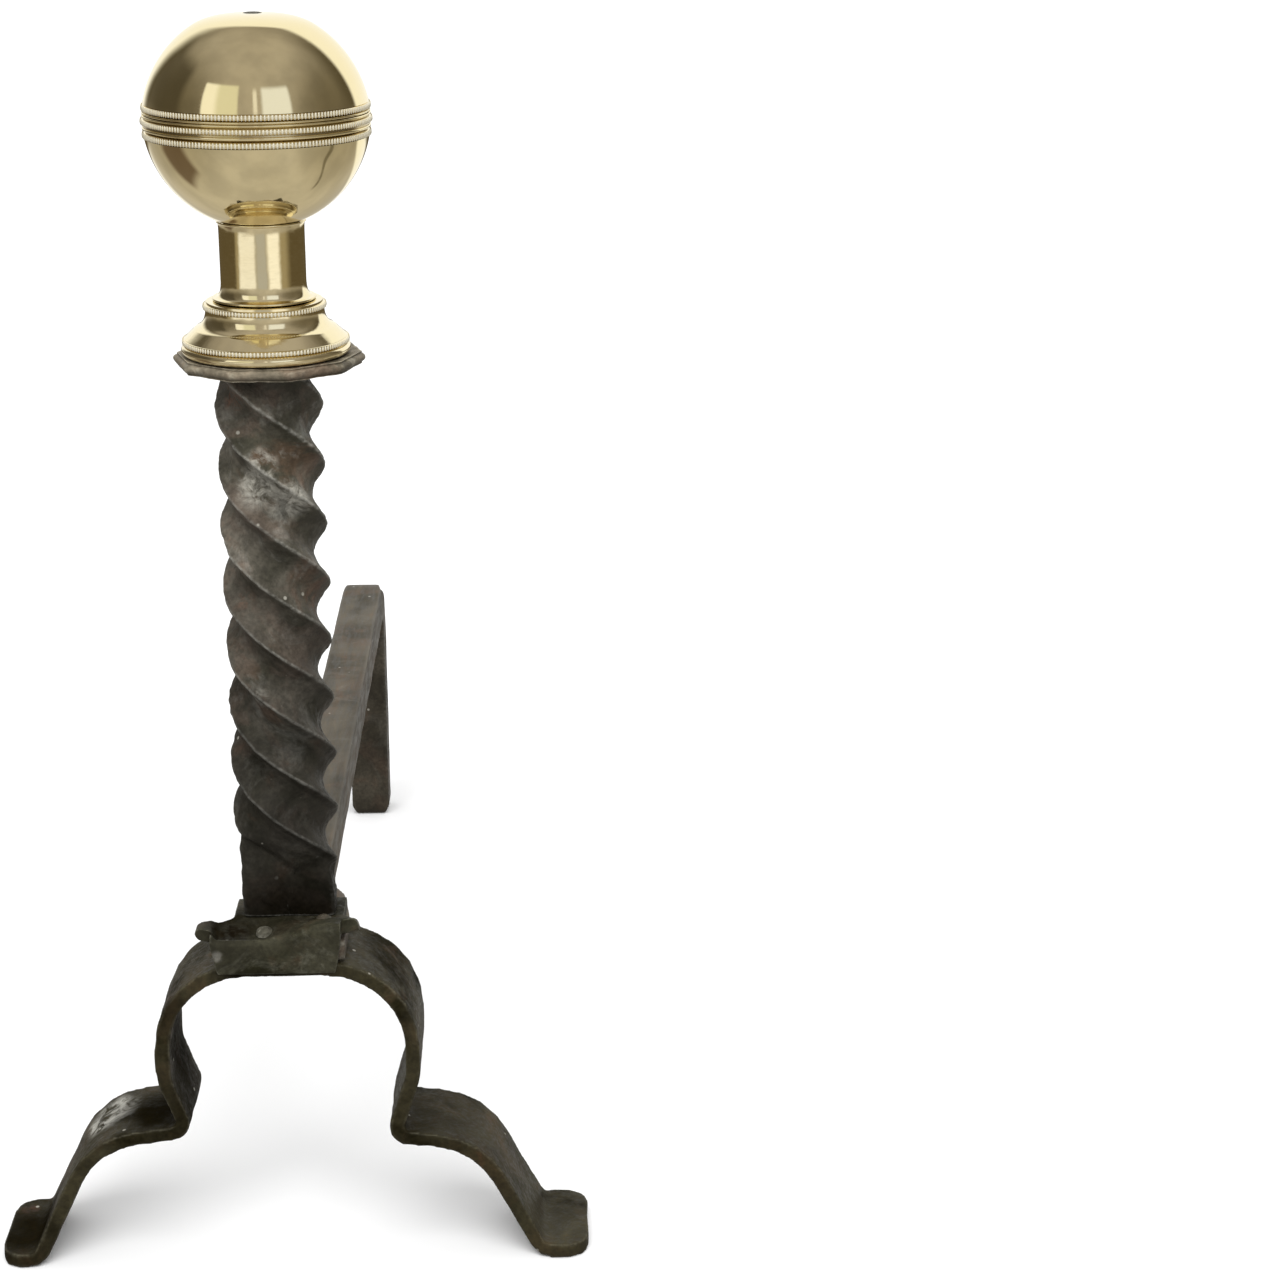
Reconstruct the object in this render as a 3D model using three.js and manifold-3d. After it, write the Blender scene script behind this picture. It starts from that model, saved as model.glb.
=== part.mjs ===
// An andiron: a twisted iron column on a bent strap arch, a square billet bar behind it to carry the
// logs, and a hollow brass ball finial held down by an iron rod.
//
// Millimetres. +Z is up, +X runs from the left foot to the right foot, and +Y runs from the column
// back along the billet bar. The finished group's origin is on the floor, midway between its feet along X
// and midway between the front of the ball and the back of the rear leg along Y.

import * as THREE from 'three';
import { mergeVertices } from 'three/addons/utils/BufferGeometryUtils.js';
import Module from 'manifold-3d';

const wasm = await Module();
wasm.setup();

// ---------------------------------------------------------------- fits and facets
const seat = 0.3; // clearance left wherever two pieces meet
const roundSides = 36; // flats round a turned piece
const holeSides = 16; // flats round a drilled hole or a rivet
const curveSteps = 3; // steps along a curve of an outline, and half the steps along an arc
const bendStep = Math.PI / 12; // largest turn in one step of a bend
const through = 20; // how far a cutter reaches past what it cuts

// ---------------------------------------------------------------- leg arch
const strapDepth = 51; // front to back
const strapThickness = 8;
const crownTop = 163; // floor to the top of the crown
const archShift = -2; // the arch stands a little left of the column
const shoulderReach = 61; // the strap's centre line turns down here
const shoulderBend = 42;
const calfHeight = 101; // it starts to lean in here
const calfBend = 24;
const kneeReach = 50.5; // and turns out again here
const kneeHeight = 68;
const kneeBend = 6;
const humpReach = 93; // the shelf rolls over into the shin here
const humpHeight = 62;
const humpBend = 40;
const toeReach = 122.5; // and the shin flattens into the foot here
const toeBend = 7;
const leftRise = 4.5; // the left leg is bent this much higher at the knee and the hump
const leftSpread = 5; // and further out at the hump and the toe
const footReach = 147; // middle of the arch to the tip of a foot
const footSpread = 57.4; // front to back across the hammered-out foot
const footTaper = 28; // length over which the strap spreads into the foot
const footCorner = 12; // radius of the foot's corners

// ---------------------------------------------------------------- billet bar
const barWidth = 26.6;
const barHeight = 25.4;
const barTop = 173.5; // floor to the log rest
const rearReach = 609.4; // column axis to the back of the rear leg
const rearBend = 35; // outer radius of the bend down to the floor
const heelCorner = 3; // small round under the rear leg
const tangWidth = 56; // the bar's front end is forged wide over the crown
const tangFlare = 64; // column axis to where the bar starts to widen

// ---------------------------------------------------------------- saddle
const saddleThickness = 7;
const saddleWidth = 80;
const saddleBack = 54; // narrower under the column's heel
const saddleReach = 14; // back edge, behind the column's axis
const saddleShift = -4.8; // it sits a little left of the column
const wingDepth = 7; // front to back across the ends of the plate
const lipWidth = 63; // the lip that folds down in front of the crown
const lipTaper = 3; // narrower on each side at the bottom
const lipDrop = 20.5; // saddle top to the lip's lower edge
const saddleBend = 4; // outer radius of the fold

// ---------------------------------------------------------------- column
const columnLength = 270;
const columnSquare = 38.6; // bar stock across its flats
const ridgeRadius = 25; // axis to a twisted ridge
const faceHollow = 0.6; // the twist draws the faces in by this much
const quarterTwist = 28.6; // height of a quarter turn
const ridgeHeight = 253.1; // column base to a height where a ridge points along X
const heelHeight = 24; // untwisted heel at the bottom
const heelBlend = 16; // height over which the heel turns into the twist
const heelWidth = 45.6;
const heelDepth = 21;
const heelSquareness = 12; // the higher, the sharper the heel's corners
const columnSides = 32;
const columnRings = 42;
const tenonRadius = 8;
const tenonPeen = 10; // radius of the tenon's hammered end
const peenDepth = 2.5;

// ---------------------------------------------------------------- saddle rivets
const rivetPlaces = [-11, 18]; // along X
const rivetSetback = 5.5; // rivet axis to the crown's front edge
const rivetRadius = 2.6;
const rivetHead = 4.2;
const rivetDome = 2.8;
const rivetPeen = 3.8;

// ---------------------------------------------------------------- cap plate
const capThickness = 6;
const capRadius = 44.4;
const capCorners = 10; // hammered nearly round, with this many corners
const capShiftX = 1; // it sits a little off the column's axis
const capShiftY = 2.5;
const capBevel = 1.2;

// ---------------------------------------------------------------- brass plinth
const brassWall = 2.2;
const plinthHeight = 24.5; // base to ledge
const plinthRadius = 38.6; // base moulding
const mouldingHeight = 4.6;
const lowerRing = 38.2; // crest radius of the lower ring
const lowerRingHeight = 6; // base to its crest
const upperRing = 28.2; // crest radius of the upper ring
const upperRingHeight = 21.9;
const coveTop = 27; // radius where the cove leaves the upper ring
const coveSag = 1.9; // how far the cove dips below a straight slope
const plinthBead = 1.3; // half the height of a ring
const spigotHeight = 5; // the plug that centres the neck

// ---------------------------------------------------------------- brass neck
const neckHeight = 36.3; // plinth ledge to the neck's upper outer edge
const neckWaist = 19.4;
const neckTop = 20.3;
const neckFoot = 23.6; // flange on the plinth
const neckFlange = 1.2; // flange thickness
const neckSweep = 7.5; // height of the sweep out to the flange
const neckRoll = 6; // height of the sweep out to the ball
const neckEdge = 1; // height of its steep last stretch

// ---------------------------------------------------------------- brass ball
const ballRadius = 51; // radius of each pressed half
const ballShort = 2.1; // each half stops this far short of a hemisphere
const ballCentre = 81.2; // middle of the ball above the plinth's ledge
const crownFlat = 2.8; // the top is flattened round the rod by this much
const crownReach = 27; // radius where the flattened top begins
const ringPitch = 6; // three rings round the ball
const ringBead = 1.35; // half the height of a ring
const ringProud = 0.7; // how far a ring stands out of the ball
const registerHeight = 4; // lap inside the upper half

// ---------------------------------------------------------------- tie rod
const rodRadius = 3.2;
const rodThread = 30; // length screwed into the column
const rodPeen = 4.1; // radius of the hammered end on the ball
const rodPeenDepth = 1.6;
const rodStandout = 0.5;
const rodRelief = 1; // the column's hole is this much deeper than the rod

// ---------------------------------------------------------------- heights that follow
const crownUnder = crownTop - strapThickness;
const tangUnder = crownTop + seat;
const barUnder = barTop - barHeight;
const saddleUnder = barTop + seat;
const saddleTop = saddleUnder + saddleThickness;
const columnBase = saddleTop + seat;
const columnTop = columnBase + columnLength;
const capBase = columnTop + seat;
const capTop = capBase + capThickness;
const plinthBase = capTop + seat;
const ledge = plinthBase + plinthHeight;
const neckBase = ledge + seat;
const ballMiddle = ledge + ballCentre;
const ballTop = ballMiddle + ballRadius - ballShort - crownFlat;
const rodHole = rodRadius + seat;
const bore = neckWaist - brassWall; // inside of the neck
const spigot = bore - seat;
const ballFront = shellReach(ballRadius, 0) + ringProud; // the middle ring is the foremost point
const depthMiddle = (rearReach - ballFront) / 2;

// ---------------------------------------------------------------- materials
const brass = new THREE.MeshStandardMaterial({ color: 0xc2a860, roughness: 0.18, metalness: 1 });
const blackIron = new THREE.MeshStandardMaterial({ color: 0x3b3833, roughness: 0.7, metalness: 0.6 });
const barIron = new THREE.MeshStandardMaterial({ color: 0x5a544b, roughness: 0.7, metalness: 0.5 });
const darkIron = new THREE.MeshStandardMaterial({ color: 0x34312b, roughness: 0.72, metalness: 0.6 });

// ---------------------------------------------------------------- solids
const axisCycle = new THREE.Matrix4().set(0, 0, 1, 0, 1, 0, 0, 0, 0, 1, 0, 0, 0, 0, 0, 1);

// Merged vertices, with the triangles that collapse on the axis left out.
function toSolid(geometry) {
  const bare = geometry.clone();
  bare.deleteAttribute('normal');
  bare.deleteAttribute('uv');
  const merged = mergeVertices(bare, 1e-4);
  const corners = merged.index.array;
  const kept = [];
  for (let i = 0; i < corners.length; i += 3) {
    const [a, b, c] = corners.slice(i, i + 3);
    if (a !== b && b !== c && c !== a) {
      kept.push(a, b, c);
    }
  }
  const triVerts = new Uint32Array(kept);
  return new wasm.Manifold(new wasm.Mesh({ numProp: 3, vertProperties: merged.attributes.position.array, triVerts }));
}

function toGeometry(solid) {
  const mesh = solid.getMesh();
  const geometry = new THREE.BufferGeometry();
  geometry.setAttribute('position', new THREE.BufferAttribute(mesh.vertProperties, mesh.numProp));
  geometry.setIndex(new THREE.BufferAttribute(mesh.triVerts, 1));
  geometry.computeVertexNormals();
  return geometry;
}

function piece(name, solid, material, height = 0) {
  const mesh = new THREE.Mesh(toGeometry(solid), material);
  mesh.name = name;
  mesh.position.z = height;
  return mesh;
}

// A turned solid: the outline is (radius, height), up the outside and down the inside.
function turned(outline, sides = roundSides) {
  const geometry = new THREE.LatheGeometry(outline.getPoints(curveSteps), sides);
  return toSolid(geometry.rotateX(Math.PI / 2));
}

function rod(radius, from, to, sides = holeSides) {
  const geometry = new THREE.CylinderGeometry(radius, radius, to - from, sides);
  return toSolid(geometry.rotateX(Math.PI / 2)).translate([0, 0, (from + to) / 2]);
}

// A cone that opens downwards from one radius to a wider one.
function flare(narrow, wide, from, to) {
  const geometry = new THREE.CylinderGeometry(narrow, wide, to - from, holeSides);
  return toSolid(geometry.rotateX(Math.PI / 2)).translate([0, 0, (from + to) / 2]);
}

function slab(shape, depth) {
  return new THREE.ExtrudeGeometry(shape, { depth, bevelEnabled: false, curveSegments: curveSteps });
}

// Outline in X and Z, centred on Y.
function frontSlab(shape, depth) {
  return toSolid(slab(shape, depth).rotateX(Math.PI / 2)).translate([0, depth / 2, 0]);
}

// Outline in Y and Z, centred on X.
function sideSlab(shape, width) {
  return toSolid(slab(shape, width).applyMatrix4(axisCycle)).translate([-width / 2, 0, 0]);
}

// Outline in X and Y, from the floor up.
function planSlab(shape, height) {
  return toSolid(slab(shape, height));
}

// ---------------------------------------------------------------- bent strap
function leftOf(heading) {
  return new THREE.Vector2(-Math.sin(heading), Math.cos(heading));
}

// Points and left-hand normals along a line that turns each corner with its own radius.
function bentLine(corners) {
  const line = [];
  const headingTo = (from, to) => Math.atan2(to.y - from.y, to.x - from.x);
  line.push({ point: corners[0].at, left: leftOf(headingTo(corners[0].at, corners[1].at)) });
  for (let i = 1; i < corners.length - 1; i += 1) {
    const { at, bend } = corners[i];
    const heading = headingTo(corners[i - 1].at, at);
    const raw = headingTo(at, corners[i + 1].at) - heading;
    const turn = Math.atan2(Math.sin(raw), Math.cos(raw));
    const swing = bend * Math.sign(turn);
    const run = bend * Math.tan(Math.abs(turn) / 2);
    const start = new THREE.Vector2(at.x - Math.cos(heading) * run, at.y - Math.sin(heading) * run);
    const centre = start.addScaledVector(leftOf(heading), swing);
    const steps = Math.ceil(Math.abs(turn) / bendStep);
    for (let k = 0; k <= steps; k += 1) {
      const left = leftOf(heading + (turn * k) / steps);
      line.push({ point: centre.clone().addScaledVector(left, -swing), left });
    }
  }
  const [last, end] = corners.slice(-2);
  line.push({ point: end.at, left: leftOf(headingTo(last.at, end.at)) });
  return line;
}

// Corners of a right leg's centre line, from the shoulder out to the tip of the foot.
function legCorners(rise, spread) {
  const crownLevel = crownTop - strapThickness / 2;
  const footLevel = strapThickness / 2;
  return [
    { at: new THREE.Vector2(shoulderReach, crownLevel), bend: shoulderBend },
    { at: new THREE.Vector2(shoulderReach, calfHeight), bend: calfBend },
    { at: new THREE.Vector2(kneeReach, kneeHeight + rise), bend: kneeBend },
    { at: new THREE.Vector2(humpReach + spread, humpHeight + rise), bend: humpBend },
    { at: new THREE.Vector2(toeReach + spread, footLevel), bend: toeBend },
    { at: new THREE.Vector2(footReach, footLevel) },
  ];
}

function strapOutline() {
  const mirrored = ({ at, bend }) => ({ at: new THREE.Vector2(-at.x, at.y), bend });
  const leftLeg = legCorners(leftRise, leftSpread).map(mirrored).reverse();
  const line = bentLine([...leftLeg, ...legCorners(0, 0)]);
  const edge = (offset) => line.map(({ point, left }) => point.clone().addScaledVector(left, offset));
  return new THREE.Shape([...edge(-strapThickness / 2), ...edge(strapThickness / 2).reverse()]);
}

// Seen from above: a plain strap whose ends spread into round-cornered feet.
function strapPlan() {
  const plan = new THREE.Shape();
  const neck = footReach - footTaper;
  const corner = footReach - footCorner;
  for (const side of [1, -1]) {
    const front = (-side * footSpread) / 2;
    const turnIn = front + side * footCorner;
    const firstMove = side === 1 ? 'moveTo' : 'lineTo';
    plan[firstMove](side * neck, (-side * strapDepth) / 2);
    plan.quadraticCurveTo(side * (neck + footTaper / 4), front, side * corner, front);
    plan.absarc(side * corner, turnIn, footCorner, (-side * Math.PI) / 2, side === 1 ? 0 : Math.PI, false);
    plan.absarc(side * corner, -turnIn, footCorner, side === 1 ? 0 : Math.PI, (side * Math.PI) / 2, false);
    plan.quadraticCurveTo(side * (neck + footTaper / 4), -front, side * neck, (side * strapDepth) / 2);
  }
  return plan;
}

const rivetLine = -strapDepth / 2 + rivetSetback; // where the saddle rivets stand along Y

// The drilled and countersunk holes that the tenon and the rivets pass through.
function crownHoles() {
  const holes = [
    rod(tenonRadius + seat, crownUnder - through, columnBase + through),
    flare(tenonRadius + seat, tenonPeen + seat, crownUnder, crownUnder + peenDepth),
  ];
  for (const x of rivetPlaces) {
    const shank = rod(rivetRadius + seat, crownUnder - through, columnBase + through);
    const sink = flare(rivetRadius + seat, rivetPeen + seat, crownUnder, crownUnder + peenDepth);
    holes.push(shank.translate([x, rivetLine, 0]), sink.translate([x, rivetLine, 0]));
  }
  return wasm.Manifold.union(holes);
}

function legArch() {
  const bent = frontSlab(strapOutline(), footSpread).intersect(planSlab(strapPlan(), crownTop + through));
  return bent.translate([archShift, 0, 0]).subtract(crownHoles());
}

// ---------------------------------------------------------------- billet bar
function barSide() {
  const front = -strapDepth / 2;
  const shoulder = strapDepth / 2 + seat;
  const innerBend = rearBend - barHeight;
  const legFront = rearReach - barHeight;
  const side = new THREE.Shape();
  side.moveTo(front, tangUnder);
  side.lineTo(shoulder, tangUnder);
  side.lineTo(shoulder, barUnder);
  side.lineTo(legFront - innerBend, barUnder);
  side.absarc(legFront - innerBend, barUnder - innerBend, innerBend, Math.PI / 2, 0, true);
  side.lineTo(legFront, heelCorner);
  side.absarc(legFront + heelCorner, heelCorner, heelCorner, Math.PI, 1.5 * Math.PI, false);
  side.lineTo(rearReach - heelCorner, 0);
  side.absarc(rearReach - heelCorner, heelCorner, heelCorner, -Math.PI / 2, 0, false);
  side.lineTo(rearReach, barTop - rearBend);
  side.absarc(rearReach - rearBend, barTop - rearBend, rearBend, 0, Math.PI / 2, false);
  side.lineTo(front, barTop);
  return side;
}

function barPlan() {
  const plan = new THREE.Shape();
  const halfTang = tangWidth / 2;
  const halfBar = barWidth / 2;
  const back = strapDepth / 2;
  const middle = (back + tangFlare) / 2;
  plan.moveTo(-halfTang, -back);
  plan.lineTo(halfTang, -back);
  plan.lineTo(halfTang, back / 2);
  plan.bezierCurveTo(halfTang, middle, halfBar, middle, halfBar, tangFlare);
  plan.lineTo(halfBar, rearReach);
  plan.lineTo(-halfBar, rearReach);
  plan.lineTo(-halfBar, tangFlare);
  plan.bezierCurveTo(-halfBar, middle, -halfTang, middle, -halfTang, back / 2);
  return plan;
}

function billetBar() {
  const forged = sideSlab(barSide(), tangWidth).intersect(planSlab(barPlan(), barTop + through));
  return forged.subtract(crownHoles());
}

// ---------------------------------------------------------------- saddle
function saddle() {
  const inner = -strapDepth / 2 - seat;
  const outer = inner - saddleThickness;
  const lipBottom = saddleTop - lipDrop;
  const side = new THREE.Shape();
  side.moveTo(outer, lipBottom);
  side.lineTo(inner, lipBottom);
  side.lineTo(inner, saddleUnder);
  side.lineTo(saddleReach, saddleUnder);
  side.lineTo(saddleReach, saddleTop);
  side.lineTo(outer + saddleBend, saddleTop);
  side.absarc(outer + saddleBend, saddleTop - saddleBend, saddleBend, Math.PI / 2, Math.PI, false);

  const halfPlate = saddleWidth / 2;
  const halfLip = lipWidth / 2;
  const round = saddleThickness / 2;
  const front = new THREE.Shape();
  front.moveTo(-halfLip + lipTaper, lipBottom);
  front.lineTo(halfLip - lipTaper, lipBottom);
  front.lineTo(halfLip, saddleUnder);
  front.lineTo(halfPlate - round, saddleUnder);
  front.absarc(halfPlate - round, saddleUnder + round, round, -Math.PI / 2, Math.PI / 2, false);
  front.lineTo(-halfPlate + round, saddleTop);
  front.absarc(-halfPlate + round, saddleUnder + round, round, Math.PI / 2, 1.5 * Math.PI, false);
  front.lineTo(-halfLip, saddleUnder);

  const halfBack = saddleBack / 2;
  const wingFront = inner + saddleThickness / 2;
  const wingBack = wingFront + wingDepth;
  const plan = new THREE.Shape();
  plan.moveTo(-halfLip, outer);
  plan.lineTo(halfLip, outer);
  plan.lineTo(halfLip, inner);
  plan.lineTo(halfPlate, wingFront);
  plan.lineTo(halfPlate, wingBack);
  plan.lineTo(halfBack - saddleShift, wingBack + wingDepth);
  plan.lineTo(halfBack - saddleShift, saddleReach);
  plan.lineTo(-halfBack - saddleShift, saddleReach);
  plan.lineTo(-halfBack - saddleShift, wingBack + wingDepth);
  plan.lineTo(-halfPlate, wingBack);
  plan.lineTo(-halfPlate, wingFront);
  plan.lineTo(-halfLip, inner);

  const folded = sideSlab(side, saddleWidth)
    .intersect(frontSlab(front, 2 * (through - outer)))
    .intersect(planSlab(plan, saddleTop + through));
  return folded.translate([saddleShift, 0, 0]).subtract(crownHoles());
}

// A rivet through the saddle, the bar's tang and the crown, with its axis on Z.
function rivet() {
  const head = saddleTop + seat;
  const outline = new THREE.Path();
  outline.moveTo(0, crownUnder);
  outline.lineTo(rivetPeen, crownUnder);
  outline.lineTo(rivetRadius, crownUnder + peenDepth);
  outline.lineTo(rivetRadius, head);
  outline.lineTo(rivetHead, head);
  outline.quadraticCurveTo(rivetHead, head + rivetDome, 0, head + rivetDome);
  return turned(outline, holeSides);
}

// ---------------------------------------------------------------- twisted column
// Radius of a square of side 2 half with softened corners, at an angle from one corner.
function squareRadius(angle, half, corner) {
  const sharpness = Math.LN2 / Math.log((half * Math.SQRT2) / corner);
  const alongX = Math.abs(Math.cos(angle - Math.PI / 4)) / half;
  const alongY = Math.abs(Math.sin(angle - Math.PI / 4)) / half;
  return (alongX ** sharpness + alongY ** sharpness) ** (-1 / sharpness);
}

// Radius of the flattened heel at an angle from X.
function heelRadius(angle) {
  const alongX = Math.abs(Math.cos(angle)) / (heelWidth / 2);
  const alongY = Math.abs(Math.sin(angle)) / (heelDepth / 2);
  return (alongX ** heelSquareness + alongY ** heelSquareness) ** (-1 / heelSquareness);
}

// Radius of the column and its turn, at a height above its base and an angle from a ridge.
function columnAt(height, angle) {
  const twistEnd = ridgeHeight - quarterTwist * Math.floor((ridgeHeight - heelHeight) / quarterTwist + 0.5);
  const turn = ((ridgeHeight - Math.max(height, twistEnd)) / quarterTwist) * (Math.PI / 2);
  const hollow = faceHollow * Math.sin(2 * angle) ** 2;
  const twisted = squareRadius(angle, columnSquare / 2, ridgeRadius) - hollow;
  const blend = THREE.MathUtils.smoothstep(height, heelHeight - heelBlend / 2, heelHeight + heelBlend / 2);
  return { turn, radius: THREE.MathUtils.lerp(heelRadius(angle + turn), twisted, blend) };
}

function twistColumn() {
  const blank = new THREE.CylinderGeometry(1, 1, columnLength, columnSides, columnRings);
  blank.rotateX(Math.PI / 2);
  blank.translate(0, 0, columnLength / 2);
  const position = blank.attributes.position;
  for (let i = 0; i < position.count; i += 1) {
    const height = position.getZ(i);
    const angle = Math.atan2(position.getY(i), position.getX(i));
    const { turn, radius } = columnAt(height, angle);
    const reach = radius * Math.hypot(position.getX(i), position.getY(i));
    position.setXY(i, reach * Math.cos(angle + turn), reach * Math.sin(angle + turn));
  }
  const tenonEnd = crownUnder - columnBase;
  return toSolid(blank)
    .add(rod(tenonRadius, tenonEnd, heelHeight / 2))
    .add(flare(tenonRadius, tenonPeen, tenonEnd, tenonEnd + peenDepth))
    .subtract(rod(rodHole, columnLength - rodThread - rodRelief, columnLength + through));
}

// ---------------------------------------------------------------- cap plate
function capPlate() {
  const outline = new THREE.Shape();
  const inner = capRadius - capBevel;
  for (let corner = 0; corner < capCorners; corner += 1) {
    const angle = (corner * 2 * Math.PI) / capCorners;
    const move = corner === 0 ? 'moveTo' : 'lineTo';
    outline[move](inner * Math.cos(angle), inner * Math.sin(angle));
  }
  const plate = new THREE.ExtrudeGeometry(outline, {
    depth: capThickness - 2 * capBevel,
    bevelThickness: capBevel,
    bevelSize: capBevel,
    bevelSegments: 1,
  });
  return toSolid(plate.translate(capShiftX, capShiftY, capBevel)).subtract(rod(rodHole, -through, capThickness + through));
}

// ---------------------------------------------------------------- brass plinth
function bead(outline, crest, height, half) {
  outline.lineTo(crest - half, height - half);
  outline.absarc(crest - half, height, half, -Math.PI / 2, Math.PI / 2, false);
}

function plinth() {
  const half = mouldingHeight / 2;
  const coveBottom = lowerRingHeight + plinthBead;
  const coveUp = upperRingHeight - plinthBead;
  const coveLip = lowerRing - plinthBead;
  const coveMiddle = (coveLip + coveTop) / 2;
  const coveMiddleHeight = (coveBottom + coveUp) / 2 - coveSag;
  const ceiling = plinthHeight - brassWall;
  const outline = new THREE.Path();
  outline.moveTo(plinthRadius - half - brassWall, 0);
  outline.lineTo(plinthRadius - half, 0);
  outline.absarc(plinthRadius - half, half, half, -Math.PI / 2, Math.PI / 2, false);
  bead(outline, lowerRing, lowerRingHeight, plinthBead);
  outline.lineTo(coveLip, coveBottom);
  outline.quadraticCurveTo(coveLip - coveSag, coveBottom + coveSag, coveMiddle, coveMiddleHeight);
  outline.quadraticCurveTo(coveTop, coveMiddleHeight + coveSag, coveTop, coveUp);
  bead(outline, upperRing, upperRingHeight, plinthBead);
  outline.lineTo(neckFoot, plinthHeight);
  outline.lineTo(spigot, plinthHeight);
  outline.lineTo(spigot, plinthHeight + spigotHeight);
  outline.lineTo(rodHole, plinthHeight + spigotHeight);
  outline.lineTo(rodHole, ceiling);
  outline.lineTo(coveTop - brassWall, ceiling);
  outline.lineTo(coveMiddle - brassWall - coveSag, coveMiddleHeight);
  outline.lineTo(coveLip - 2 * brassWall, coveBottom);
  outline.lineTo(plinthRadius - half - brassWall, 0);
  return turned(outline);
}

// ---------------------------------------------------------------- brass ball and neck
const ballLining = ballRadius - brassWall;
const seam = ringPitch / 2; // the halves meet between the upper ring and the middle ring
const registerTop = seam + registerHeight;
const registerOuter = shellReach(ballLining, registerTop + seat) - seat;

// Height above the ball's middle where a shell of this radius has this reach, and the other way round.
function shellHeight(radius, reach) {
  return Math.sqrt(radius ** 2 - reach ** 2) - ballShort;
}

function shellReach(radius, height) {
  return Math.sqrt(radius ** 2 - (Math.abs(height) + ballShort) ** 2);
}

// An arc of a shell's outline between two heights on the upper side (1) or the lower side (-1).
function shellArc(outline, side, radius, from, to) {
  const start = Math.asin((from + side * ballShort) / radius);
  const end = Math.asin((to + side * ballShort) / radius);
  outline.absarc(0, -side * ballShort, radius, start, end, end < start);
}

function ballRing(outline, height) {
  bead(outline, shellReach(ballRadius, height) + ringProud, height, ringBead);
}

function ballUpper() {
  const top = ballTop - ballMiddle;
  const shoulder = shellHeight(ballRadius, crownReach);
  const slope = crownReach / (shoulder + ballShort);
  const liningTop = top - brassWall;
  const outline = new THREE.Path();
  outline.moveTo(registerOuter + seat, seam + seat);
  outline.lineTo(shellReach(ballRadius, seam + seat), seam + seat);
  ballRing(outline, ringPitch);
  shellArc(outline, 1, ballRadius, ringPitch + ringBead, shoulder);
  outline.quadraticCurveTo(crownReach - (top - shoulder) / slope, top, rodPeen + seat, top);
  outline.lineTo(rodHole, top - rodPeenDepth);
  outline.lineTo(rodHole, liningTop);
  outline.lineTo(rodPeen + brassWall, liningTop);
  outline.lineTo(crownReach - brassWall, shellHeight(ballLining, crownReach - brassWall));
  shellArc(outline, 1, ballLining, shellHeight(ballLining, crownReach - brassWall), registerTop + seat);
  outline.lineTo(registerOuter + seat, seam + seat);
  return turned(outline);
}

function ballLower() {
  const boss = neckBase - ballMiddle + neckHeight - spigotHeight; // underside of the centring boss
  const root = -shellHeight(ballRadius, spigot);
  const floor = -shellHeight(ballLining, spigot);
  const outline = new THREE.Path();
  outline.moveTo(rodHole, boss);
  outline.lineTo(spigot, boss);
  outline.lineTo(spigot, root);
  shellArc(outline, -1, ballRadius, root, -ringPitch - ringBead);
  ballRing(outline, -ringPitch);
  ballRing(outline, 0);
  outline.lineTo(shellReach(ballRadius, seam), seam);
  outline.lineTo(registerOuter, seam);
  outline.lineTo(registerOuter, registerTop);
  outline.lineTo(registerOuter - brassWall / 2, registerTop);
  outline.lineTo(registerOuter - brassWall / 2, -brassWall);
  shellArc(outline, -1, ballLining, -brassWall, floor);
  outline.lineTo(rodHole, floor);
  outline.lineTo(rodHole, boss);
  return turned(outline);
}

function neck() {
  const underBall = (reach) => ballMiddle - neckBase - shellHeight(ballRadius, reach) - seat;
  const outline = new THREE.Path();
  outline.moveTo(bore, 0);
  outline.lineTo(neckFoot, 0);
  outline.lineTo(neckFoot, neckFlange);
  outline.quadraticCurveTo(neckWaist, neckFlange, neckWaist, neckFlange + neckSweep);
  outline.lineTo(neckWaist, underBall(neckTop) - neckRoll);
  outline.quadraticCurveTo(neckWaist, underBall(neckTop) - neckEdge, neckTop, underBall(neckTop));
  outline.lineTo(bore, underBall(bore));
  outline.lineTo(bore, 0);
  return turned(outline);
}

// ---------------------------------------------------------------- tie rod
function tieRod() {
  const bottom = columnTop - rodThread;
  const outline = new THREE.Path();
  outline.moveTo(0, bottom);
  outline.lineTo(rodRadius, bottom);
  outline.lineTo(rodRadius, ballTop - rodPeenDepth);
  outline.lineTo(rodPeen, ballTop);
  outline.quadraticCurveTo(rodPeen, ballTop + rodStandout, 0, ballTop + rodStandout);
  return turned(outline, holeSides);
}

// ---------------------------------------------------------------- assembly
const andiron = new THREE.Group();
andiron.position.set(-archShift, -depthMiddle, 0);
andiron.add(
  piece('leg_arch', legArch(), darkIron),
  piece('billet_bar', billetBar(), barIron),
  piece('saddle', saddle(), darkIron),
  piece('twist_column', twistColumn(), blackIron, columnBase),
  piece('cap_plate', capPlate(), blackIron, capBase),
  piece('plinth', plinth(), brass, plinthBase),
  piece('neck', neck(), brass, neckBase),
  piece('ball_lower', ballLower(), brass, ballMiddle),
  piece('ball_upper', ballUpper(), brass, ballMiddle),
  piece('tie_rod', tieRod(), darkIron),
);
rivetPlaces.forEach((x, index) => {
  const fastener = piece(`saddle_rivet_${index + 1}`, rivet(), darkIron);
  fastener.position.set(x, rivetLine, 0);
  andiron.add(fastener);
});

export default andiron;
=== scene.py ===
"""Finish for the andiron: spun and knurled brass, forged iron, a pale floor, soft light and the camera.

The frame is in metres: +Z up, +X from the left foot to the right foot, +Y from the column back along the
billet bar. Places come from the frame's boxes. Sizes are named below in millimetres.
"""
import math

import bmesh
import bpy
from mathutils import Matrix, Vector, noise


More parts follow.
